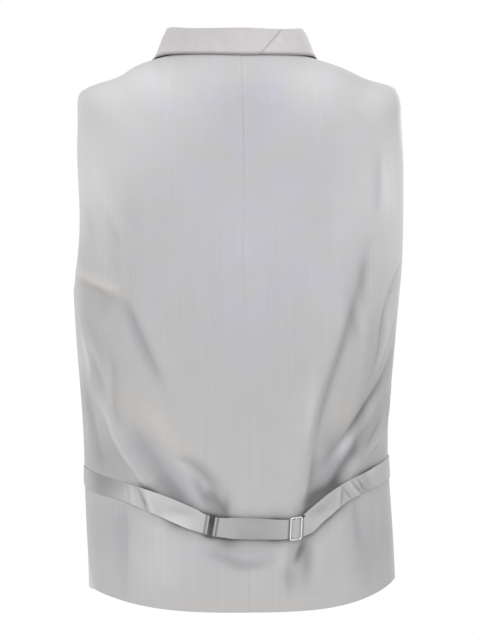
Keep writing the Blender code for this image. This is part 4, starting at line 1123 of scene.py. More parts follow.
def shell(name, grid, wall, radius, centred, materials, flat_place, sewn=None, tone=0.0):
    """A closed thin shell of cloth with rounded edges through a grid of points in mm.

    The grid is the cloth's outer face, or its middle where centred is true.  At d from
    an edge the wall is thinner by sqrt(1 - (1 - d / radius)^2), which rounds it off.
    sewn is the column, 0 or -1, of the centre back seam, which is sunk by SEAM_SINK.
    """
    normals = grid_normals(grid)
    along, across = run_lengths(grid, 0), run_lengths(grid, 1)
    from_first, from_last = across, across[:, -1:] - across
    sink = np.ones(grid.shape[:2])
    tone = np.broadcast_to(tone, grid.shape[:2]).copy()
    if sewn is not None:
        from_seam = from_first if sewn == 0 else from_last
        depth = np.interp(grid[..., 2], *zip(*((s.height, s.share) for s in SEAM_SINK)))
        sink = np.where(from_seam < radius, depth, 1.0)
        tone += SEAM_SHADE * depth * bell(from_seam, SEAM_SHADE_WIDTH)
        tone += SEAM_LIP * depth * bell(from_seam - SEAM_LIP_WIDTH, SEAM_LIP_WIDTH)
        from_seam = from_seam * radius / SEWN_RADIUS
        from_first, from_last = (from_seam, from_last) if sewn == 0 else (from_first, from_seam)
    edge = np.minimum(np.minimum(along, along[-1:] - along), np.minimum(from_first, from_last))
    full = np.sqrt(np.clip(1 - (1 - np.clip(edge / radius, 0, 1)) ** 2, 0, 1))[..., None]
    middle = grid if centred else grid - normals * wall / 2
    outer = middle + normals * wall / 2 * (1 - (1 - full) * sink[..., None])
    inner = middle - normals * wall / 2 * full
    points = np.concatenate((outer.reshape(-1, 3), inner[1:-1, 1:-1].reshape(-1, 3)))
    faces = shell_faces(*grid.shape[:2])
    mesh = bpy.data.meshes.new(name)
    mesh.from_pydata((points * MM).tolist(), [], faces.tolist())
    mesh.shade_smooth()
    for material in materials:
        mesh.materials.append(material)
    sides = np.repeat((0, len(materials) - 1), len(faces) // 2)
    mesh.polygons.foreach_set("material_index", sides.astype(np.int32))
    layer = mesh.uv_layers.new(name="cloth")
    places = both_faces(flat_place)[faces.reshape(-1)]
    layer.data.foreach_set("uv", places.reshape(-1).astype(np.float32))
    on_back = points[:, 1] > 0
    # Painted sheen, tint, light and shade kept on the points: ovals on the back, and the painted
    # tone that the caller lays.
    for label, glows, laid in (
        ("warm_sheen_and_tint", WARM_SHEEN_AND_TINT, 0), ("cool_tint_and_shade", COOL_TINT_AND_SHADE, 0), ("tone", PAINTED_LIGHT_AND_SHADE, both_faces(tone))
    ):
        amount = glow_amount(glows, points) * on_back + laid
        attribute = mesh.attributes.new(label, "FLOAT", "POINT")
        attribute.data.foreach_set("value", amount.astype(np.float32))
    return added(name, mesh)


# ---- the body panels ----------------------------------------------------------------

MOST_SLANT = 2.2
SIDE_SEAM_TURN_MOST, SIDE_SEAM_CURVE = 1.3, 1.5  # how far below its turn the seam still swings
FRONT_HEM_CURVE = 1.7  # over 1 keeps the hem high near the side


def across_of(angle, level):
    """How far the figure is from its section's middle at this angle."""
    return section("half_width", level) * rounded_square(angle)[0]


def half_seam(angle, level):
    """Half the seam gap, in degrees, at a side or shoulder seam."""
    by_angle, _ = slopes_of_figure(angle, level)
    return SEAM_GAP / 2 / np.linalg.norm(by_angle, axis=-1)


def seam_slant(level, angle):
    """How much longer the gap has to be, sideways, where the seam slants."""
    return np.minimum(np.hypot(1, np.gradient(angle, level) * MM_PER_DEGREE), MOST_SLANT)


def side_angle(height, level, scoop):
    """Where a panel ends at the side: the side seam, the armhole or the shoulder seam.

    The armhole takes out scoop (1 - t^2)^ARMHOLE_ROUNDNESS, where t goes from -1 at the
    underarm to 1 at the shoulder's tip, and the seam swings back by a power of its drop.
    """
    drop = np.clip((SIDE_SEAM_TURN_Z - height) / SIDE_SEAM_TURN_LENGTH, 0, SIDE_SEAM_TURN_MOST)
    seam = 90 - SIDE_SEAM_TURN * drop**SIDE_SEAM_CURVE
    middle, reach = (TIP_LEVEL + UNDERARM_LEVEL) / 2, (TIP_LEVEL - UNDERARM_LEVEL) / 2
    turn = np.clip((level - middle) / reach, -1, 1)
    return seam - scoop * (1 - turn**2) ** ARMHOLE_ROUNDNESS


def back_hem(across, side_z):
    """A back panel's hem: it rises to the side by |across|^HEM_CURVE."""
    return HEM_BACK_Z + (side_z - HEM_BACK_Z) * (np.abs(across) / HEM_SIDE_ACROSS) ** HEM_CURVE


def front_hem(across, side_z):
    """A front's hem: a power curve down to its point, then straight up to the edge."""
    from_side = np.clip((HEM_SIDE_ACROSS - across) / (HEM_SIDE_ACROSS - HEM_POINT_ACROSS), 0, 1)
    curved = side_z + (HEM_POINT_Z - side_z) * from_side**FRONT_HEM_CURVE
    to_edge = (HEM_POINT_ACROSS - across) / (HEM_POINT_ACROSS + OVERLAP)
    straight = HEM_POINT_Z + (HEM_EDGE_Z - HEM_POINT_Z) * to_edge
    return np.where(across > HEM_POINT_ACROSS, curved, straight)


SEAM_COLUMNS = columns_of(CENTRE_SEAM)
V_COLUMNS = columns_of(V_EDGE)


def back_inner_angle(level, side):
    """A back panel's edge: half the seam's gap from the centre back seam."""
    x = spline(SEAM_COLUMNS["level"], SEAM_COLUMNS["x"], level)
    across = side * (x - section("middle_x", level)) + SEAM_GAP / 2
    return np.sign(across) * angle_at(np.abs(across), level, True)


def front_inner_angle(level, side=1):
    """A front panel's edge: the buttoned edge, then the V up to the shoulder."""
    across = spline(V_COLUMNS["level"], V_COLUMNS["across"], np.maximum(level, V_EDGE[0].level))
    return angle_at(across, level, False)


ROW_SPACING, COLUMN_SPACING = 2.3, 2.3
EDGE_RADIUS = 0.8
PANEL_RUN = 270.0  # of a panel's widest row


def fine_rows():
    """Shares below STRAIGHT_Z and levels above it, close together at both rims."""
    lower = level_of(STRAIGHT_Z) - level_of(HEM_BACK_Z)
    upper = NECK_LEVEL - level_of(STRAIGHT_Z)
    shares = rim_places(2 * lower, ROW_SPACING, EDGE_RADIUS)
    shares = shares[shares < 0.5] * 2
    levels = rim_places(2 * upper, ROW_SPACING, EDGE_RADIUS)
    levels = level_of(STRAIGHT_Z) + (levels[levels >= 0.5] - 0.5) * 2 * upper
    return shares, levels


def fine_panel(side, scoop, inner_angle, hem, side_z):
    """The panel's outer face on a fine grid, its tone, and its places on the flat cloth.

    Along a row the angle goes evenly from the side to the inner edge.  Up a column the
    level goes from the hem to STRAIGHT_Z by shares, and is the same all along a row above.
    """
    shares, levels = fine_rows()
    side_heights = side_z + shares * (STRAIGHT_Z - side_z)
    side_levels = np.concatenate((level_of(side_heights), levels))
    heights = np.minimum(figure(90, side_levels)[:, 2], 0)
    start = side_angle(heights, side_levels, scoop)
    low = len(shares)

    def from_hem(angle, levels, shares):
        """Levels that are shares of the way from the hem at this angle to STRAIGHT_Z."""
        hem_level = level_of(hem(across_of(angle, levels), side_z))
        return hem_level + shares * (level_of(STRAIGHT_Z) - hem_level)

    end_levels = side_levels.copy()
    end_levels[:low] = from_hem(inner_angle(side_levels[:low], side), side_levels[:low], shares)
    end = inner_angle(end_levels, side)
    gap = half_seam(start, side_levels) * seam_slant(side_levels, start)
    start = start + np.sign(end - start) * gap
    across_share = rim_places(PANEL_RUN, COLUMN_SPACING, EDGE_RADIUS)
    angle = start[:, None] + (end - start)[:, None] * across_share
    level = np.repeat(side_levels[:, None], len(across_share), axis=1)
    level[:low] = from_hem(angle[:low], side_levels[:low, None], shares[:, None])
    grid = cloth(side * angle, level)
    tone = fold_tone(side * angle, level, end[0] < 90)
    run = run_lengths(grid, 1)
    flat = np.stack((run[:, -1:] - run, level), axis=-1)
    if side * (angle[0, -1] - angle[0, 0]) > 0:
        grid, flat, tone = grid[:, ::-1], flat[:, ::-1], tone[:, ::-1]
    return grid, flat, tone


def make_panels(satin, suiting, lining):
    """The two backs and the two fronts, each a shell through its fine grid."""
    made = {}
    for name, side in (("left", 1), ("right", -1)):
        side_z = HEM_SIDE_Z[name]
        grid, flat, tone = fine_panel(side, ARMHOLE_BACK_SCOOP, back_inner_angle, back_hem, side_z)
        made[f"back_{name}"] = shell(
            f"back_{name}_cloth", grid, BACK_WALL, EDGE_RADIUS, False, (satin, lining), flat,
            sewn=-1 if side > 0 else 0, tone=tone,
        )
        grid, flat, tone = fine_panel(
            side, -ARMHOLE_FRONT_SCOOP, front_inner_angle, front_hem, side_z
        )
        made[f"front_{name}"] = shell(
            f"front_{name}_cloth", grid, FRONT_WALL, EDGE_RADIUS, False, (suiting, lining), flat,
            tone=tone,
        )
    return made


# ---- the collar ---------------------------------------------------------------------

COLLAR_COLUMNS = columns_of(COLLAR)
NECKLINE_SAMPLES = 60
NECKLINE_STEP = 2.0  # either way, to find which way the neckline runs
WALK_STEPS = 10
LEAST_WALK = 4.0  # mm
LEAST_STAND = 0.8
# The section's points: shares up the stand, turns round the roll and shares down the fall.
COLLAR_STAND_SHARES = (0.0, 0.5, 1.0)
COLLAR_ROLL_TURNS = (pi * 0.25, pi * 0.5, pi * 0.75, pi)
COLLAR_FALL_SHARES = (0.15, 0.4, 0.7, 1.0)
COLLAR_SWELL_TURN = 0.6  # under 1 puts the fall's swell near its top


def neckline():
    """Angles, levels and distances of the left half of the neckline, from the centre back."""
    back_angle = np.linspace(0, 90, NECKLINE_SAMPLES, endpoint=False)
    front_level = np.linspace(NECK_LEVEL, V_EDGE[0].level, 2 * NECKLINE_SAMPLES)
    angle = np.concatenate((back_angle, front_inner_angle(front_level)))
    level = np.concatenate((np.full(NECKLINE_SAMPLES, NECK_LEVEL), front_level))
    steps = np.linalg.norm(np.diff(figure(angle, level), axis=0), axis=-1)
    return angle, level, np.concatenate(([0], np.cumsum(steps)))


NECK_ANGLES, NECK_LEVELS, NECK_DISTANCES = neckline()


def neck_place(along):
    """Angle and level on the neckline at this distance, negative on the wearer's right."""
    far = np.abs(along)
    side = np.where(along < 0, -1, 1)
    return (
        side * np.interp(far, NECK_DISTANCES, NECK_ANGLES),
        np.interp(far, NECK_DISTANCES, NECK_LEVELS),
    )


def walk_from_neckline(along, reach):
    """Places met on the way from the neckline into the cloth, at WALK_STEPS equal steps.

    Each step moves along the heading, laid in the surface: its changes of angle and level
    solve the two equations that the figure's slopes by angle (a) and level (l) give.
    """
    angle, level = neck_place(along)
    ahead, behind = neck_place(along + NECKLINE_STEP), neck_place(along - NECKLINE_STEP)
    tangent = unit(figure(*ahead) - figure(*behind))
    heading = unit(np.cross(outward(angle, level), tangent))
    places = [(angle, level, heading)]
    for _ in range(WALK_STEPS):
        normal = outward(angle, level)
        heading = unit(heading - (heading * normal).sum(-1, keepdims=True) * normal)
        by_angle, by_level = slopes_of_figure(angle, level)
        aa, al, ll = (by_angle**2).sum(-1), (by_angle * by_level).sum(-1), (by_level**2).sum(-1)
        ha, hl = (heading * by_angle).sum(-1), (heading * by_level).sum(-1)
        scale = reach / WALK_STEPS / (aa * ll - al**2)
        angle = angle + scale * (ha * ll - hl * al)
        level = level + scale * (hl * aa - ha * al)
        places.append((angle, level, heading))
    return places


def collar_grid(along):
    """The collar's middle surface: for each point of its section, a line of points along it.

    The stand goes straight up from the neckline and the roll is half a circle.  The fall
    is the cloth under it, plus the roll's height over that cloth times (1 - share)^curve,
    plus a swell of bulge sin(pi share^COLLAR_SWELL_TURN) where the collar is upright.
    """
    stand, reach, clear, upright, bulge = (
        spline(COLLAR_COLUMNS["along"], COLLAR_COLUMNS[name], np.abs(along))
        for name in ("stand", "reach", "clear", "upright", "bulge")
    )
    places = walk_from_neckline(along, np.maximum(reach, LEAST_WALK))
    angle, level, heading = places[0]
    normal = outward(angle, level)
    aside = np.where(angle < 0, COLLAR_LEAN_RIGHT, COLLAR_LEAN_LEFT) * np.sin(np.radians(angle))
    forwards = np.full_like(aside, -COLLAR_LEAN_FORWARD)
    lean = np.stack((aside, forwards, np.ones_like(aside)), axis=-1)
    standing = upright[..., None]
    up = unit(standing * unit(lean) + (1 - standing) * -heading)
    out = unit(normal - (normal * up).sum(-1, keepdims=True) * up)
    foot = figure(angle, level) + normal * (front_raise(angle) - FRONT_WALL / 2)[..., None]
    foot = foot - heading * (COLLAR_GAP + COLLAR_WALL / 2 * standing)
    straight = np.maximum(stand - FOLD_RADIUS, LEAST_STAND)[..., None]
    columns = []
    for share in COLLAR_STAND_SHARES:
        columns.append(foot + up * straight * share)
    for turn in COLLAR_ROLL_TURNS:
        rise, side = FOLD_RADIUS * np.sin(turn), FOLD_RADIUS * (1 - np.cos(turn))
        columns.append(foot + up * (straight + rise) + out * side)
    fall_start = foot + up * straight + out * 2 * FOLD_RADIUS
    lying = [cloth(a, l, clear + COLLAR_WALL / 2) for a, l, _ in places]
    for share in COLLAR_FALL_SHARES:
        step = share * WALK_STEPS
        low = min(int(step), WALK_STEPS - 1)
        on_cloth = lying[low] + (lying[low + 1] - lying[low]) * (step - low)
        swell = bulge[..., None] * standing * np.sin(pi * share**COLLAR_SWELL_TURN)
        rise = (1 - share) ** (1 + (COLLAR_FALL_CURVE - 1) * standing)
        columns.append(on_cloth + (fall_start - lying[0]) * rise + out * swell)
    return np.stack(columns)


COLLAR_SPACING = 3.0
COLLAR_RADIUS = 0.75
COLLAR_JOIN_SHADE, COLLAR_JOIN_WIDTH = -0.32, 0.7  # the line of the slanting join


def fine_collar(start, slant, seam_side):
    """One collar piece, from its lapel's end to the slanting join behind the neck.

    A row of the grid is a place along it, and a column is a point of its section.
    """
    turned = len(COLLAR_STAND_SHARES + COLLAR_ROLL_TURNS)
    fall = np.array([0.0] * turned + list(COLLAR_FALL_SHARES))
    drop = 1 - (1 - fall) ** COLLAR_FALL_CURVE
    ends = COLLAR_SEAM_AT_FOLD + (COLLAR_SEAM_AT_EDGE - COLLAR_SEAM_AT_FOLD) * drop
    ends = ends + seam_side * SEAM_GAP / 2
    starts = start + slant * fall
    share = rim_places(abs(start), COLLAR_SPACING, COLLAR_RADIUS)
    columns = []
    for column, (first, last) in enumerate(zip(starts, ends)):
        columns.append(collar_grid(first + (last - first) * share)[column])
    return np.stack(columns, axis=1)


def make_collars(suiting):
    """Both collar pieces, darker along the slanting join by a bell of the distance to it."""
    made = {}
    for name, start, slant, seam_side in (
        ("left", LEFT_LAPEL_END, 0.0, 1),
        ("right", -RIGHT_LAPEL_END, RIGHT_LAPEL_SLANT, -1),
    ):
        grid = fine_collar(start, slant, seam_side)
        flat = np.stack((run_lengths(grid, 0), run_lengths(grid, 1)), axis=-1)
        from_join = flat[-1:, :, 0] - flat[..., 0]
        join = COLLAR_JOIN_SHADE * bell(from_join, COLLAR_JOIN_WIDTH)
        made[f"collar_{name}"] = shell(
            f"collar_{name}_cloth", grid, COLLAR_WALL, COLLAR_RADIUS, True, (suiting,), flat,
            tone=join,
        )
    return made


# ---- the strap ----------------------------------------------------------------------

STRAP_SAMPLES = 200


def strap_centre_line():
    """Dense samples of the strap's centre line: distance along it, angle, height and width."""
    table = columns_of(STRAP)
    angle = angle_at(table["across"], level_of(table["height"]), True)
    steps = np.hypot(np.diff(angle) * MM_PER_DEGREE, np.diff(table["height"]))
    knots = np.concatenate(([0], np.cumsum(steps)))
    at = np.linspace(STRAP_END_GAP, knots[-1] - STRAP_END_GAP, STRAP_SAMPLES)
    angle, height, width = (spline(knots, v, at) for v in (angle, table["height"], table["width"]))
    points = figure(angle, level_of(height))
    steps = np.linalg.norm(np.diff(points, axis=0), axis=-1)
    across = across_of(angle, level_of(height))
    return np.concatenate(([0], np.cumsum(steps))), across, angle, height, width


STRAP_ALONG, STRAP_ACROSS, STRAP_ANGLE, STRAP_HEIGHT, STRAP_WIDTH = strap_centre_line()
STRAP_SLOPE = np.arctan2(np.gradient(STRAP_HEIGHT), -np.gradient(STRAP_ANGLE) * MM_PER_DEGREE)
STRAP_END = float(STRAP_ALONG[-1])
RING_ALONG, SLIDER_ALONG = np.interp((-RING.across, -SLIDER.across), -STRAP_ACROSS, STRAP_ALONG)


def near_hardware(along, hardware_along):
    """1 inside a piece of hardware, 0 well away from it."""
    return 1 - smooth_step(np.abs(along - hardware_along), PINCH_LENGTH, 3 * PINCH_LENGTH)


def strap_place(along, sideways):
    """Angle and level at a distance along the strap and up from its centre line.

    The way up is square to the strap, but turns to the long bars of the hardware near them.
    """
    angle = np.interp(along, STRAP_ALONG, STRAP_ANGLE)
    height = np.interp(along, STRAP_ALONG, STRAP_HEIGHT)
    slope = np.interp(along, STRAP_ALONG, STRAP_SLOPE)
    for piece, middle in ((RING, RING_ALONG), (SLIDER, SLIDER_ALONG)):
        slope = slope + (np.radians(-piece.lean) - slope) * near_hardware(along, middle)
    return (
        angle + sideways * np.sin(slope) / MM_PER_DEGREE,
        level_of(height + sideways * np.cos(slope)),
    )


def strap_point(along, sideways, lift):
    """A point over the smooth cloth under the strap; creases stay out from under it."""
    along, sideways, lift = np.broadcast_arrays(along, sideways, lift)
    angle, level = strap_place(along, sideways)
    return figure(angle, level) + outward(angle, level) * lift[..., None]


def strap_width(along):
    """The strap is gathered a little where it passes through the ring and the slider."""
    width = np.interp(along, STRAP_ALONG, STRAP_WIDTH)
    pinch = np.maximum(near_hardware(along, RING_ALONG), near_hardware(along, SLIDER_ALONG))
    return width + (PINCH_WIDTH - width) * pinch


STRAP_LIE = LAY_GAP + STRAP_WALL / 2  # lift of the middle of a strap that lies on the back
UPPER_LIE = STRAP_LIE + STRAP_WALL + LAY_GAP  # and of one that lies on another layer
RING_ROLL = RING.wire / 2 + LAY_GAP + STRAP_WALL / 2  # bend radius round a bar of the ring
RING_LIFT = STRAP_LIE + RING_ROLL
RING_BAR = (RING.length - RING.wire) / 2  # from the ring's middle to a long bar
SLIDER_PASS = SLIDER.wire / 2 + LAY_GAP + STRAP_WALL / 2
SLIDER_LIFT = UPPER_LIE + SLIDER_PASS
SLIDER_BAR = (SLIDER.length - SLIDER.wire) / 2
STRAP_STEP = 9.0
BEND_STEPS = 8
TAIL_POINTS = 4
BAR_CLEAR = 3.0  # mm between a bar and the straight run next to it
# Where the left strap rises over its tail and climbs to the bar, in tail lengths before it.
TAIL_RISE, TAIL_RISEN, TAIL_CLIMB = 3, 1.4, 0.7


def round_the_bar(bar_along, side):
    """Distance and lift where the strap turns round a bar of the ring, top to bottom."""
    turn = np.linspace(0, pi, BEND_STEPS + 1)
    return bar_along + side * RING_ROLL * np.sin(turn), RING_LIFT + RING_ROLL * np.cos(turn)


def left_strap_line():
    """Distance and lift of the left strap's middle, from the side seam to its tail's end."""
    bar = RING_ALONG - RING_BAR
    run = np.arange(0, bar - STRAP_STEP / 2, STRAP_STEP)
    rise = smooth_step(run, bar - TAIL_RISE * TAIL_LENGTH, bar - TAIL_RISEN * TAIL_LENGTH)
    climb = smooth_step(run, bar - TAIL_CLIMB * TAIL_LENGTH, bar - BAR_CLEAR)
    run_lift = STRAP_LIE + (UPPER_LIE + LAY_GAP - STRAP_LIE) * rise
    run_lift = run_lift + (RING_LIFT + RING_ROLL - run_lift) * climb
    bend_along, bend_lift = round_the_bar(bar, 1)
    tail = np.linspace(bar - BAR_CLEAR, bar - TAIL_LENGTH, TAIL_POINTS)
    return (
        np.concatenate((run, bend_along, tail)),
        np.concatenate((run_lift, bend_lift, np.full(len(tail), STRAP_LIE))),
    )


def right_strap_line():
    """The right strap's middle: through the slider, round the ring and back to the slider."""
    near, far = SLIDER_ALONG - SLIDER_BAR, SLIDER_ALONG + SLIDER_BAR
    bar = RING_ALONG + RING_BAR
    run = np.arange(STRAP_END, far + STRAP_STEP / 2, -STRAP_STEP)
    rise = smooth_step(run, far + 3 * STRAP_STEP, far + STRAP_STEP / 2)
    run_lift = STRAP_LIE + (UPPER_LIE - STRAP_LIE) * rise
    weave = np.linspace(far, near, 2 * BEND_STEPS + 1)
    share = (weave - SLIDER_ALONG) / SLIDER_BAR
    weave_lift = UPPER_LIE + SLIDER_PASS * (1 + np.cos(pi * share))
    top = np.arange(near - STRAP_STEP / 2, bar + STRAP_STEP / 2, -STRAP_STEP)
    climb = smooth_step(top, bar + 2 * STRAP_STEP, bar + BAR_CLEAR)
    top_lift = UPPER_LIE + (RING_LIFT + RING_ROLL - UPPER_LIE) * climb
    bend_along, bend_lift = round_the_bar(bar, -1)
    under = np.arange(bar + BAR_CLEAR, near - STRAP_STEP / 2, STRAP_STEP)
    under_lift = np.full(len(under), STRAP_LIE)
    return (
        np.concatenate((run, weave, top, bend_along, under)),
        np.concatenate((run_lift, weave_lift, top_lift, bend_lift, under_lift)),
    )


# Tucks where the strap is caught down at each dart, and the gathers beside them.  A path
# is a list of (across, side), where side is -1 at the strap's lower edge and 1 at its upper.
STRAP_TUCKS = rows(Fold, """
left_tuck_line -1.3 3.0 121,1.0 113,0.1 105,-0.95
left_tuck_lip 1.5 2.3 115,1.0 107,0.0 99,-0.9
left_outer_ridge 1.4 2.6 128,0.8 123,-0.2 120,-0.9
left_outer_edge 0.9 1.2 133,0.9 131,0.0 129,-0.9
right_tuck_line -1.1 1.2 -122,1.0 -124,0.0 -128,-1.0
right_tuck_lip 1.3 2.0 -118,1.0 -120,0.0 -123,-0.9
right_tuck_second -1.2 1.1 -128,1.0 -130,0.2 -131,-0.6
right_fan_upper -1.0 1.3 -112,0.7 -106,-0.2 -100,-0.95
right_fan_lower -0.9 1.2 -112,0.4 -114,-0.9
right_fan_lip 1.2 2.0 -109,0.8 -103,0.0 -96,-0.8
right_outer_ridge 1.0 2.2 -131,0.9 -134,0.0 -137,-0.8
middle_slack 0.6 9.0 18,0.6 -20,-0.3
left_slack -0.5 6.0 92,-0.6 66,0.4
right_slack -0.5 6.0 -74,0.6 -92,-0.4
""")

# Stretches where one edge of the strap stands off the back.
Lift = namedtuple("Lift", "name across side height reach")
STRAP_LIFTS = (
    Lift("above_left_tuck", 108, 1, 2.6, 11),
    Lift("above_right_tuck", -138, 1, 2.8, 15),
    Lift("below_left", 72, -1, 2.2, 17),
    Lift("below_middle", 24, -1, 1.6, 12),
    Lift("below_right", -88, -1, 1.2, 14),
)
LIFT_PAST = 0.3  # a lifted edge starts to rise this far past the middle, in half widths
LIFT_CURVE = 1.5

# Stretches of the strap painted paler or darker than the rest: painted light and shade.
Stretch = namedtuple("Stretch", "name across amount reach")
STRAP_STRETCHES = (
    Stretch("left_end", 156, -0.24, 24),
    Stretch("left", 80, 0.03, 40),
    Stretch("between", -6, -0.32, 42),
    Stretch("right", -100, -0.14, 34),
    Stretch("right_tucks", -134, -0.22, 9),
)
TUCK_SHADE, TUCK_SHINE = 0.32, 0.10  # for each mm of a tuck's trough or lip
TUCK_SHINE_MOST = 1.5  # mm of lip, past which it gets no paler
WIRE_SHADE, WIRE_SHADE_WIDTH = -0.62, 1.1
STRAP_SPACING = 1.2
STRAP_RADIUS = 0.48
STRAP_ROWS = 13


def along_of(across):
    """The distance along the strap at which its centre line is that far across."""
    return np.interp(-np.asarray(across, float), -STRAP_ACROSS, STRAP_ALONG)


def tuck_relief(along, sideways):
    """How far the tucks and lifted edges move the strap out.

    A tuck is a bell of the distance to its path.  A lift is a bell along the strap times
    a power of the share of the way from just past the middle to the lifted edge.
    """
    half = strap_width(along) / 2
    places = np.stack((along, sideways), axis=-1)
    moved = np.zeros(along.shape)
    for tuck in STRAP_TUCKS:
        path = np.array(tuck.path, float)
        at = along_of(path[:, 0])
        line = np.stack((at, path[:, 1] * strap_width(at) / 2), axis=-1)
        distance, share = distance_to_path(places, line)
        moved += tuck.height * bell(distance, tuck.width) * faded_ends(share, *TUCK_ENDS)
    for lift in STRAP_LIFTS:
        toward = np.clip((lift.side * sideways / half + LIFT_PAST) / (1 + LIFT_PAST), 0, 1)
        near = bell(along - along_of(lift.across), lift.reach)
        moved += lift.height * near * toward**LIFT_CURVE
    return moved


def strap_tone(along, relief):
    """The painted light and shade on the strap: how much paler or darker it is by stretches, tucks
    and beside each wire.
    """
    total = np.minimum(relief, 0) * TUCK_SHADE + np.clip(relief, 0, TUCK_SHINE_MOST) * TUCK_SHINE
    for stretch in STRAP_STRETCHES:
        total += stretch.amount * bell(along - along_of(stretch.across), stretch.reach)
    for piece, middle in ((RING, RING_ALONG), (SLIDER, SLIDER_ALONG)):
        off = np.abs(np.abs(along - middle) - piece.length / 2 - WIRE_SHADE_WIDTH / 2)
        total += WIRE_SHADE * bell(off, WIRE_SHADE_WIDTH)
    return total


def refine(line, spacing):
    """The same run of (distance, lift) places, a spacing apart, with rims for its ends."""
    along, lift = line
    run = np.concatenate(([0], np.cumsum(np.hypot(np.diff(along), np.diff(lift)))))
    at = rim_places(run[-1], spacing, STRAP_RADIUS) * run[-1]
    return np.interp(at, run, along), np.interp(at, run, lift), at


def make_straps(satin):
    """Both straps: their lines swept across their width, with the tucks on top."""
    made = {}
    across = rim_places(PINCH_WIDTH, PINCH_WIDTH / STRAP_ROWS, STRAP_RADIUS) - 0.5
    for name, line in (("left", left_strap_line()), ("right", right_strap_line())):
        along, lift, run = refine(line, STRAP_SPACING)
        sideways = strap_width(along)[:, None] * across
        wide = np.repeat(along[:, None], len(across), axis=1)
        relief = tuck_relief(wide, sideways)
        calm = 1 - np.maximum(near_hardware(wide, RING_ALONG), near_hardware(wide, SLIDER_ALONG))
        grid = strap_point(wide, sideways, lift[:, None] + relief * calm)
        tone = strap_tone(wide, relief * calm)
        flat = np.stack((sideways, np.repeat(run[:, None], len(across), axis=1)), axis=-1)
        made[f"strap_{name}"] = shell(
            f"strap_{name}_cloth", grid, STRAP_WALL, STRAP_RADIUS, True, (satin,), flat, tone=tone
        )
    return made


# ---- wire pieces, buttons and thread ------------------------------------------------

CORNER_STEPS = 8
BAR_SHARE = 0.9  # the middle bar's wire is this much of the frame's
BAR_POINTS = 7
TUBE_ROUNDNESS = 4


def rounded_rectangle(length, height, radius):
    """Points of a rounded rectangle's outline, in order, with its middle at (0, 0)."""
    points = []
    for quarter, (right, up) in enumerate(((1, 1), (-1, 1), (-1, -1), (1, -1))):
        for step in range(CORNER_STEPS + 1):
            turn = (quarter + step / CORNER_STEPS) * pi / 2
            x = right * (length / 2 - radius) + radius * np.cos(turn)
            y = up * (height / 2 - radius) + radius * np.sin(turn)
            points.append((x, y))
    return np.array(points)


def tubes(name, lines, radius, closed, material):
    """One curve object of round tubes through lists of points in millimetres."""
    curve = bpy.data.curves.new(name, "CURVE")
    curve.dimensions = "3D"
    curve.bevel_depth = radius * MM
    curve.bevel_resolution = TUBE_ROUNDNESS
    curve.use_fill_caps = True
    for points in lines:
        line = curve.splines.new("POLY")
        line.points.add(len(points) - 1)
        for place, point in zip(line.points, points):
            place.co = (*(np.asarray(point) * MM), 1)
        line.use_cyclic_u = closed
    curve.materials.append(material)
    return added(name, curve)


def make_wires(metals):
    """The ring and the slider: a rounded frame and a middle bar, laid over the strap's line."""
    made = {}
    for name, piece, along, lift in (
        ("ring", RING, RING_ALONG, RING_LIFT),
        ("slider", SLIDER, SLIDER_ALONG, SLIDER_LIFT),
    ):
        size = piece.length - piece.wire, piece.height - piece.wire
        outline = rounded_rectangle(*size, CORNER_RADIUS)
        loop = strap_point(along + outline[:, 0], outline[:, 1], lift)
        metal = metals[name]
        frame_piece = tubes(f"{name}_frame", [loop], piece.wire / 2, True, metal)
        ends = np.linspace(-0.5, 0.5, BAR_POINTS) * (piece.height - piece.wire)
        bar_line = strap_point(along, ends, lift)
        bar = tubes(f"{name}_middle_bar", [bar_line], piece.wire * BAR_SHARE / 2, False, metal)
        made[f"strap_{name}"] = (frame_piece, bar)
    return made


BUTTON_SIDES, DRILL_SIDES = 48, 16
BUTTON_EDGE = 0.9  # radius of the rim's outer round
BUTTON_EDGE_STEPS = 6
BUTTON_SHARP = 0.6  # radians past which an edge stays crisp
MERGE = 0.00001  # metres within which the turned disc's ends are one
THREAD_RADIUS = 0.32
THREAD_STEP = 0.22  # either way between the two strands over a pair of holes
# A strand's place between its two holes, in hole spacings, and its height over the dish.
STITCH = ((-0.5, -0.9), (-0.42, 0.1), (-0.2, 0.28), (0.2, 0.28), (0.42, 0.1), (0.5, -0.9))
BUTTONHOLE_LENGTH = 22.0
BUTTONHOLE_PAST = 3.0  # how far it passes the button's middle
BUTTONHOLE_POINTS = 40
BUTTONHOLE_GAPE, BUTTONHOLE_SWELL = 0.55, 0.2  # half its width at the ends, and more midway
BUTTONHOLE_CORD, BUTTONHOLE_LIFT = 0.42, 0.12  # the cord's radius and how high it lies


def button_profile():
    """Radius and height down the button's outline, from the middle of its top."""
    top, floor = BUTTON_THICKNESS, BUTTON_THICKNESS - BUTTON_DISH
    dish_edge = BUTTON_RADIUS - 2 * BUTTON_RIM
    turns = np.linspace(0, pi / 2, BUTTON_EDGE_STEPS)
    edge_middle = BUTTON_RADIUS - BUTTON_EDGE, top - BUTTON_EDGE
    return [
        (0, floor),
        (dish_edge * 0.5, floor),
        (dish_edge * 0.85, floor + 0.04),
        (dish_edge, top - BUTTON_DISH * 0.75),
        (BUTTON_RADIUS - BUTTON_RIM * 1.2, top - 0.1),
        (BUTTON_RADIUS - BUTTON_RIM, top),
        *((edge_middle[0] + BUTTON_EDGE * np.sin(t), edge_middle[1] + BUTTON_EDGE * np.cos(t))
          for t in turns),
        (BUTTON_RADIUS - 0.4, top - 1.6),
        (BUTTON_RADIUS - 1.5, 0),
        (0, 0),
    ]


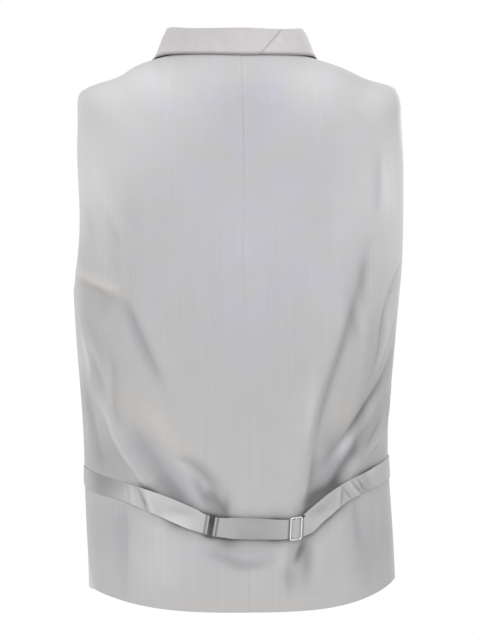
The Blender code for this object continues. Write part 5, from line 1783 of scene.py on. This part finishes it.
def button_mesh(material):
    """A turned disc with a rim, drilled four times."""
    profile = button_profile()
    mesh = bpy.data.meshes.new("button")
    edges = [(k, k + 1) for k in range(len(profile) - 1)]
    mesh.from_pydata([(r * MM, 0, z * MM) for r, z in profile], edges, [])
    blank = added("button_blank", mesh)
    turn = blank.modifiers.new("turn", "SCREW")
    turn.steps = turn.render_steps = BUTTON_SIDES
    turn.use_merge_vertices = True
    turn.merge_threshold = MERGE
    drills = []
    for k in range(4):
        drill_mesh = bpy.data.meshes.new("button_drill")
        drill = bmesh.new()
        right, up = (k % 2 - 0.5) * BUTTON_HOLE_SPACING, (k // 2 - 0.5) * BUTTON_HOLE_SPACING
        place = Matrix.Translation((right * MM, up * MM, BUTTON_THICKNESS / 2 * MM))
        bmesh.ops.create_cone(
            drill,
            cap_ends=True,
            segments=DRILL_SIDES,
            radius1=BUTTON_HOLE_RADIUS * MM,
            radius2=BUTTON_HOLE_RADIUS * MM,
            depth=3 * BUTTON_THICKNESS * MM,
            matrix=place,
        )
        drill.to_mesh(drill_mesh)
        drill.free()
        drills.append(added(f"button_drill_{k + 1}", drill_mesh))
        cut = blank.modifiers.new(f"hole_{k + 1}", "BOOLEAN")
        cut.operation = "DIFFERENCE"
        cut.object = drills[-1]
    bpy.context.view_layer.update()
    drilled = blank.evaluated_get(bpy.context.evaluated_depsgraph_get())
    made = bpy.data.meshes.new_from_object(drilled)
    made.materials.clear()
    made.materials.append(material)
    made.shade_smooth()
    made.set_sharp_from_angle(angle=BUTTON_SHARP)
    blank.modifiers.clear()
    for obj in (blank, *drills):
        bpy.data.objects.remove(obj)
    return made


def button_thread(foot, basis):
    """Two strands over each pair of holes, as lines of points."""
    floor = BUTTON_THICKNESS - BUTTON_DISH
    strands = []
    for right in (-0.5, 0.5):
        for step in (-THREAD_STEP, THREAD_STEP):
            across = right * BUTTON_HOLE_SPACING + step
            path = [(across, up * BUTTON_HOLE_SPACING, floor + rise) for up, rise in STITCH]
            strands.append([foot + basis @ np.array(point) for point in path])
    return strands


def buttonhole_line(level):
    """A closed line round the hole: out along one lip and back along the other."""
    share = np.linspace(0, 1, BUTTONHOLE_POINTS)
    sway = BUTTONHOLE_GAPE + BUTTONHOLE_SWELL * np.sin(pi * share)
    angle = angle_at(BUTTONHOLE_LENGTH * share - BUTTONHOLE_PAST, level, False)
    lower, upper = (cloth(angle, level + side * sway, BUTTONHOLE_LIFT) for side in (-1, 1))
    return np.concatenate((lower, upper[::-1]))


def make_buttons(material, thread):
    """Each button, lifted a little off the cloth, the thread over its holes, and its buttonhole.
    """
    mesh = button_mesh(material)
    made = {}
    for number, height in enumerate(BUTTON_HEIGHTS, start=1):
        level = level_of(height)
        foot = cloth(180.0, level, BUTTON_LIFT)
        turn = Vector(outward(180.0, level)).to_track_quat("Z", "Y").to_matrix()
        button = added(f"button_{number}_turned", mesh.copy())
        button.data.transform(Matrix.Translation(Vector(foot * MM)) @ turn.to_4x4())
        strands = button_thread(foot, np.array(turn))
        cross = tubes(f"button_{number}_thread", strands, THREAD_RADIUS, False, thread)
        hole_line = [buttonhole_line(level)]
        hole = tubes(f"buttonhole_{number}", hole_line, BUTTONHOLE_CORD, True, thread)
        made[f"button_{number}"] = (button, cross, hole)
    return made


# ---- the camera, the lights and the floor -------------------------------------------

CAMERA_AZIMUTH = 174.5  # degrees round from the front
CAMERA_TARGET = Vector((-0.0039, 0.0, -0.299))
CAMERA_DISTANCE = 3.2
CAMERA_SPAN = 0.704  # height of what the camera sees at the back's depth
BACK_DEPTH = 0.1
SENSOR = 36.0
FLOOR_Z = -0.9
FLOOR_REACH = 1.3
FLOOR_SIDES = 96
FLOOR_PALENESS = 0.86


def add_camera():
    """It looks level at its target; lens = sensor times distance over the height seen."""
    turn = np.radians(CAMERA_AZIMUTH)
    away = Vector((np.sin(turn), -np.cos(turn), 0.0))
    data = bpy.data.cameras.new("camera")
    data.sensor_fit = "VERTICAL"
    data.sensor_height = SENSOR
    data.lens = SENSOR * (CAMERA_DISTANCE - BACK_DEPTH) / CAMERA_SPAN
    camera = added("camera", data)
    camera.location = CAMERA_TARGET + away * CAMERA_DISTANCE
    camera.rotation_euler = away.to_track_quat("Z", "Y").to_euler()
    bpy.context.scene.camera = camera


# A soft box: where it stands, its size across and the power it gives.
Box = namedtuple("Box", "name x y z size power")
SOFT_BOXES = (
    Box("key", 1.5, 2.4, 1.6, 1.7, 27),
    Box("fill", -2.2, 2.2, 0.3, 1.8, 8),
    Box("top", 0.0, 1.3, 2.3, 1.8, 4.5),
    Box("front_key", -1.6, -2.6, 0.6, 1.2, 26),
    Box("front_fill", 1.9, -2.2, 0.2, 1.8, 8),
)
ROOM_LIGHT = 0.63
LIGHT_SHINE = 0.6  # how much of each box's reflection the cloth shows


def add_lights():
    """Soft discs aimed at the waistcoat, in a white room that lights it less than it shows."""
    for box in SOFT_BOXES:
        data = bpy.data.lights.new(box.name, "AREA")
        data.shape = "DISK"
        data.size = box.size
        data.energy = box.power
        data.specular_factor = LIGHT_SHINE
        light = added(box.name, data)
        light.location = (box.x, box.y, box.z)
        aim = Vector((box.x, box.y, box.z)) - CAMERA_TARGET
        light.rotation_euler = aim.to_track_quat("Z", "Y").to_euler()
    world = bpy.data.worlds.new("studio")
    bpy.context.scene.world = world
    world.use_nodes = True
    tree = world.node_tree
    background = tree.nodes["Background"]
    background.inputs["Color"].default_value = (1.0, 1.0, 1.0, 1.0)
    path = tree.nodes.new("ShaderNodeLightPath")
    strength = tree.nodes.new("ShaderNodeMapRange")
    strength.inputs["To Min"].default_value = ROOM_LIGHT
    strength.inputs["To Max"].default_value = 1.0
    tree.links.new(path.outputs["Is Camera Ray"], strength.inputs["Value"])
    tree.links.new(strength.outputs["Result"], background.inputs["Strength"])


def add_floor():
    """A pale disc far below, kept out of the object."""
    shader = Shader("studio_floor", Roughness=0.9)
    shader.colour(0.02 * shader.noise(shader.object_place(), 3.0, 2.0) + FLOOR_PALENESS)
    mesh = bpy.data.meshes.new("floor")
    turns = np.linspace(0, 2 * pi, FLOOR_SIDES, endpoint=False)
    rim = [(FLOOR_REACH * np.cos(t), FLOOR_REACH * np.sin(t), FLOOR_Z) for t in turns]
    mesh.from_pydata(rim, [], [tuple(range(FLOOR_SIDES))])
    mesh.materials.append(shader.material)
    floor = added("floor", mesh)


# ---- the waistcoat ------------------------------------------------------------------

# The flat cut of each sheet in metres: its width and length, and its area in square metres.
Cut = namedtuple("Cut", "node width length area held slot")
CUTS = (
    Cut("back_left", 0.235, 0.63, 0.140, "draped", "back_satin"),
    Cut("back_right", 0.235, 0.63, 0.140, "draped", "back_satin"),
    Cut("front_left", 0.225, 0.65, 0.127, "draped", "front_suiting"),
    Cut("front_right", 0.225, 0.65, 0.127, "draped", "front_suiting"),
    Cut("collar_left", 0.080, 0.50, 0.027, "folded", "front_suiting"),
    Cut("collar_right", 0.080, 0.44, 0.0213, "folded", "front_suiting"),
    Cut("strap_left", 0.023, 0.205, 0.0047, "stretched", "back_satin"),
    Cut("strap_right", 0.023, 0.350, 0.0080, "stretched", "back_satin"),
)


def place(piece, node, slot):
    """The piece rides on the one body and stands for its node, if any; slot is not used."""
    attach(piece, "root")
    if node:
        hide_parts(node)


def main():
    add_camera()
    satin = satin_material("back_satin_cloth")
    strap_satin = satin_material("strap_satin_cloth", STRAP_TONE)
    suiting = suiting_material("front_suiting_cloth")
    lining = lining_material("lining_cloth")
    # One steel, painted dark on the ring and white on the slider for the reflections each shows.
    metals = {
        "ring": metal_material("ring_steel_painted_dark", RING_STEEL_PAINTED_DARK, RING_ROUGHNESS),
        "slider": metal_material("slider_steel_painted_bright", SLIDER_STEEL_PAINTED_BRIGHT, SLIDER_ROUGHNESS),
    }
    button = button_material("moulded_button")
    thread = thread_material("grey_thread", GREY_THREAD)

    sheets = make_panels(satin, suiting, lining)
    sheets.update(make_collars(suiting))
    sheets.update(make_straps(strap_satin))
    for cut in CUTS:
        piece = sheets[cut.node]
        place(piece, cut.node, cut.slot)
    for node, (frame_piece, bar) in make_wires(metals).items():
        place(frame_piece, node, "polished_steel")
        place(bar, None, "polished_steel")
    for node, (turned, cross, hole) in make_buttons(button, thread).items():
        place(turned, node, "button_plastic")
        place(cross, None, "front_suiting")
        place(hole, None, "front_suiting")
    add_floor()
    add_lights()
    view = bpy.context.scene.view_settings
    view.view_transform = "Standard"
    view.look = "None"
    view.exposure = 0.0


main()
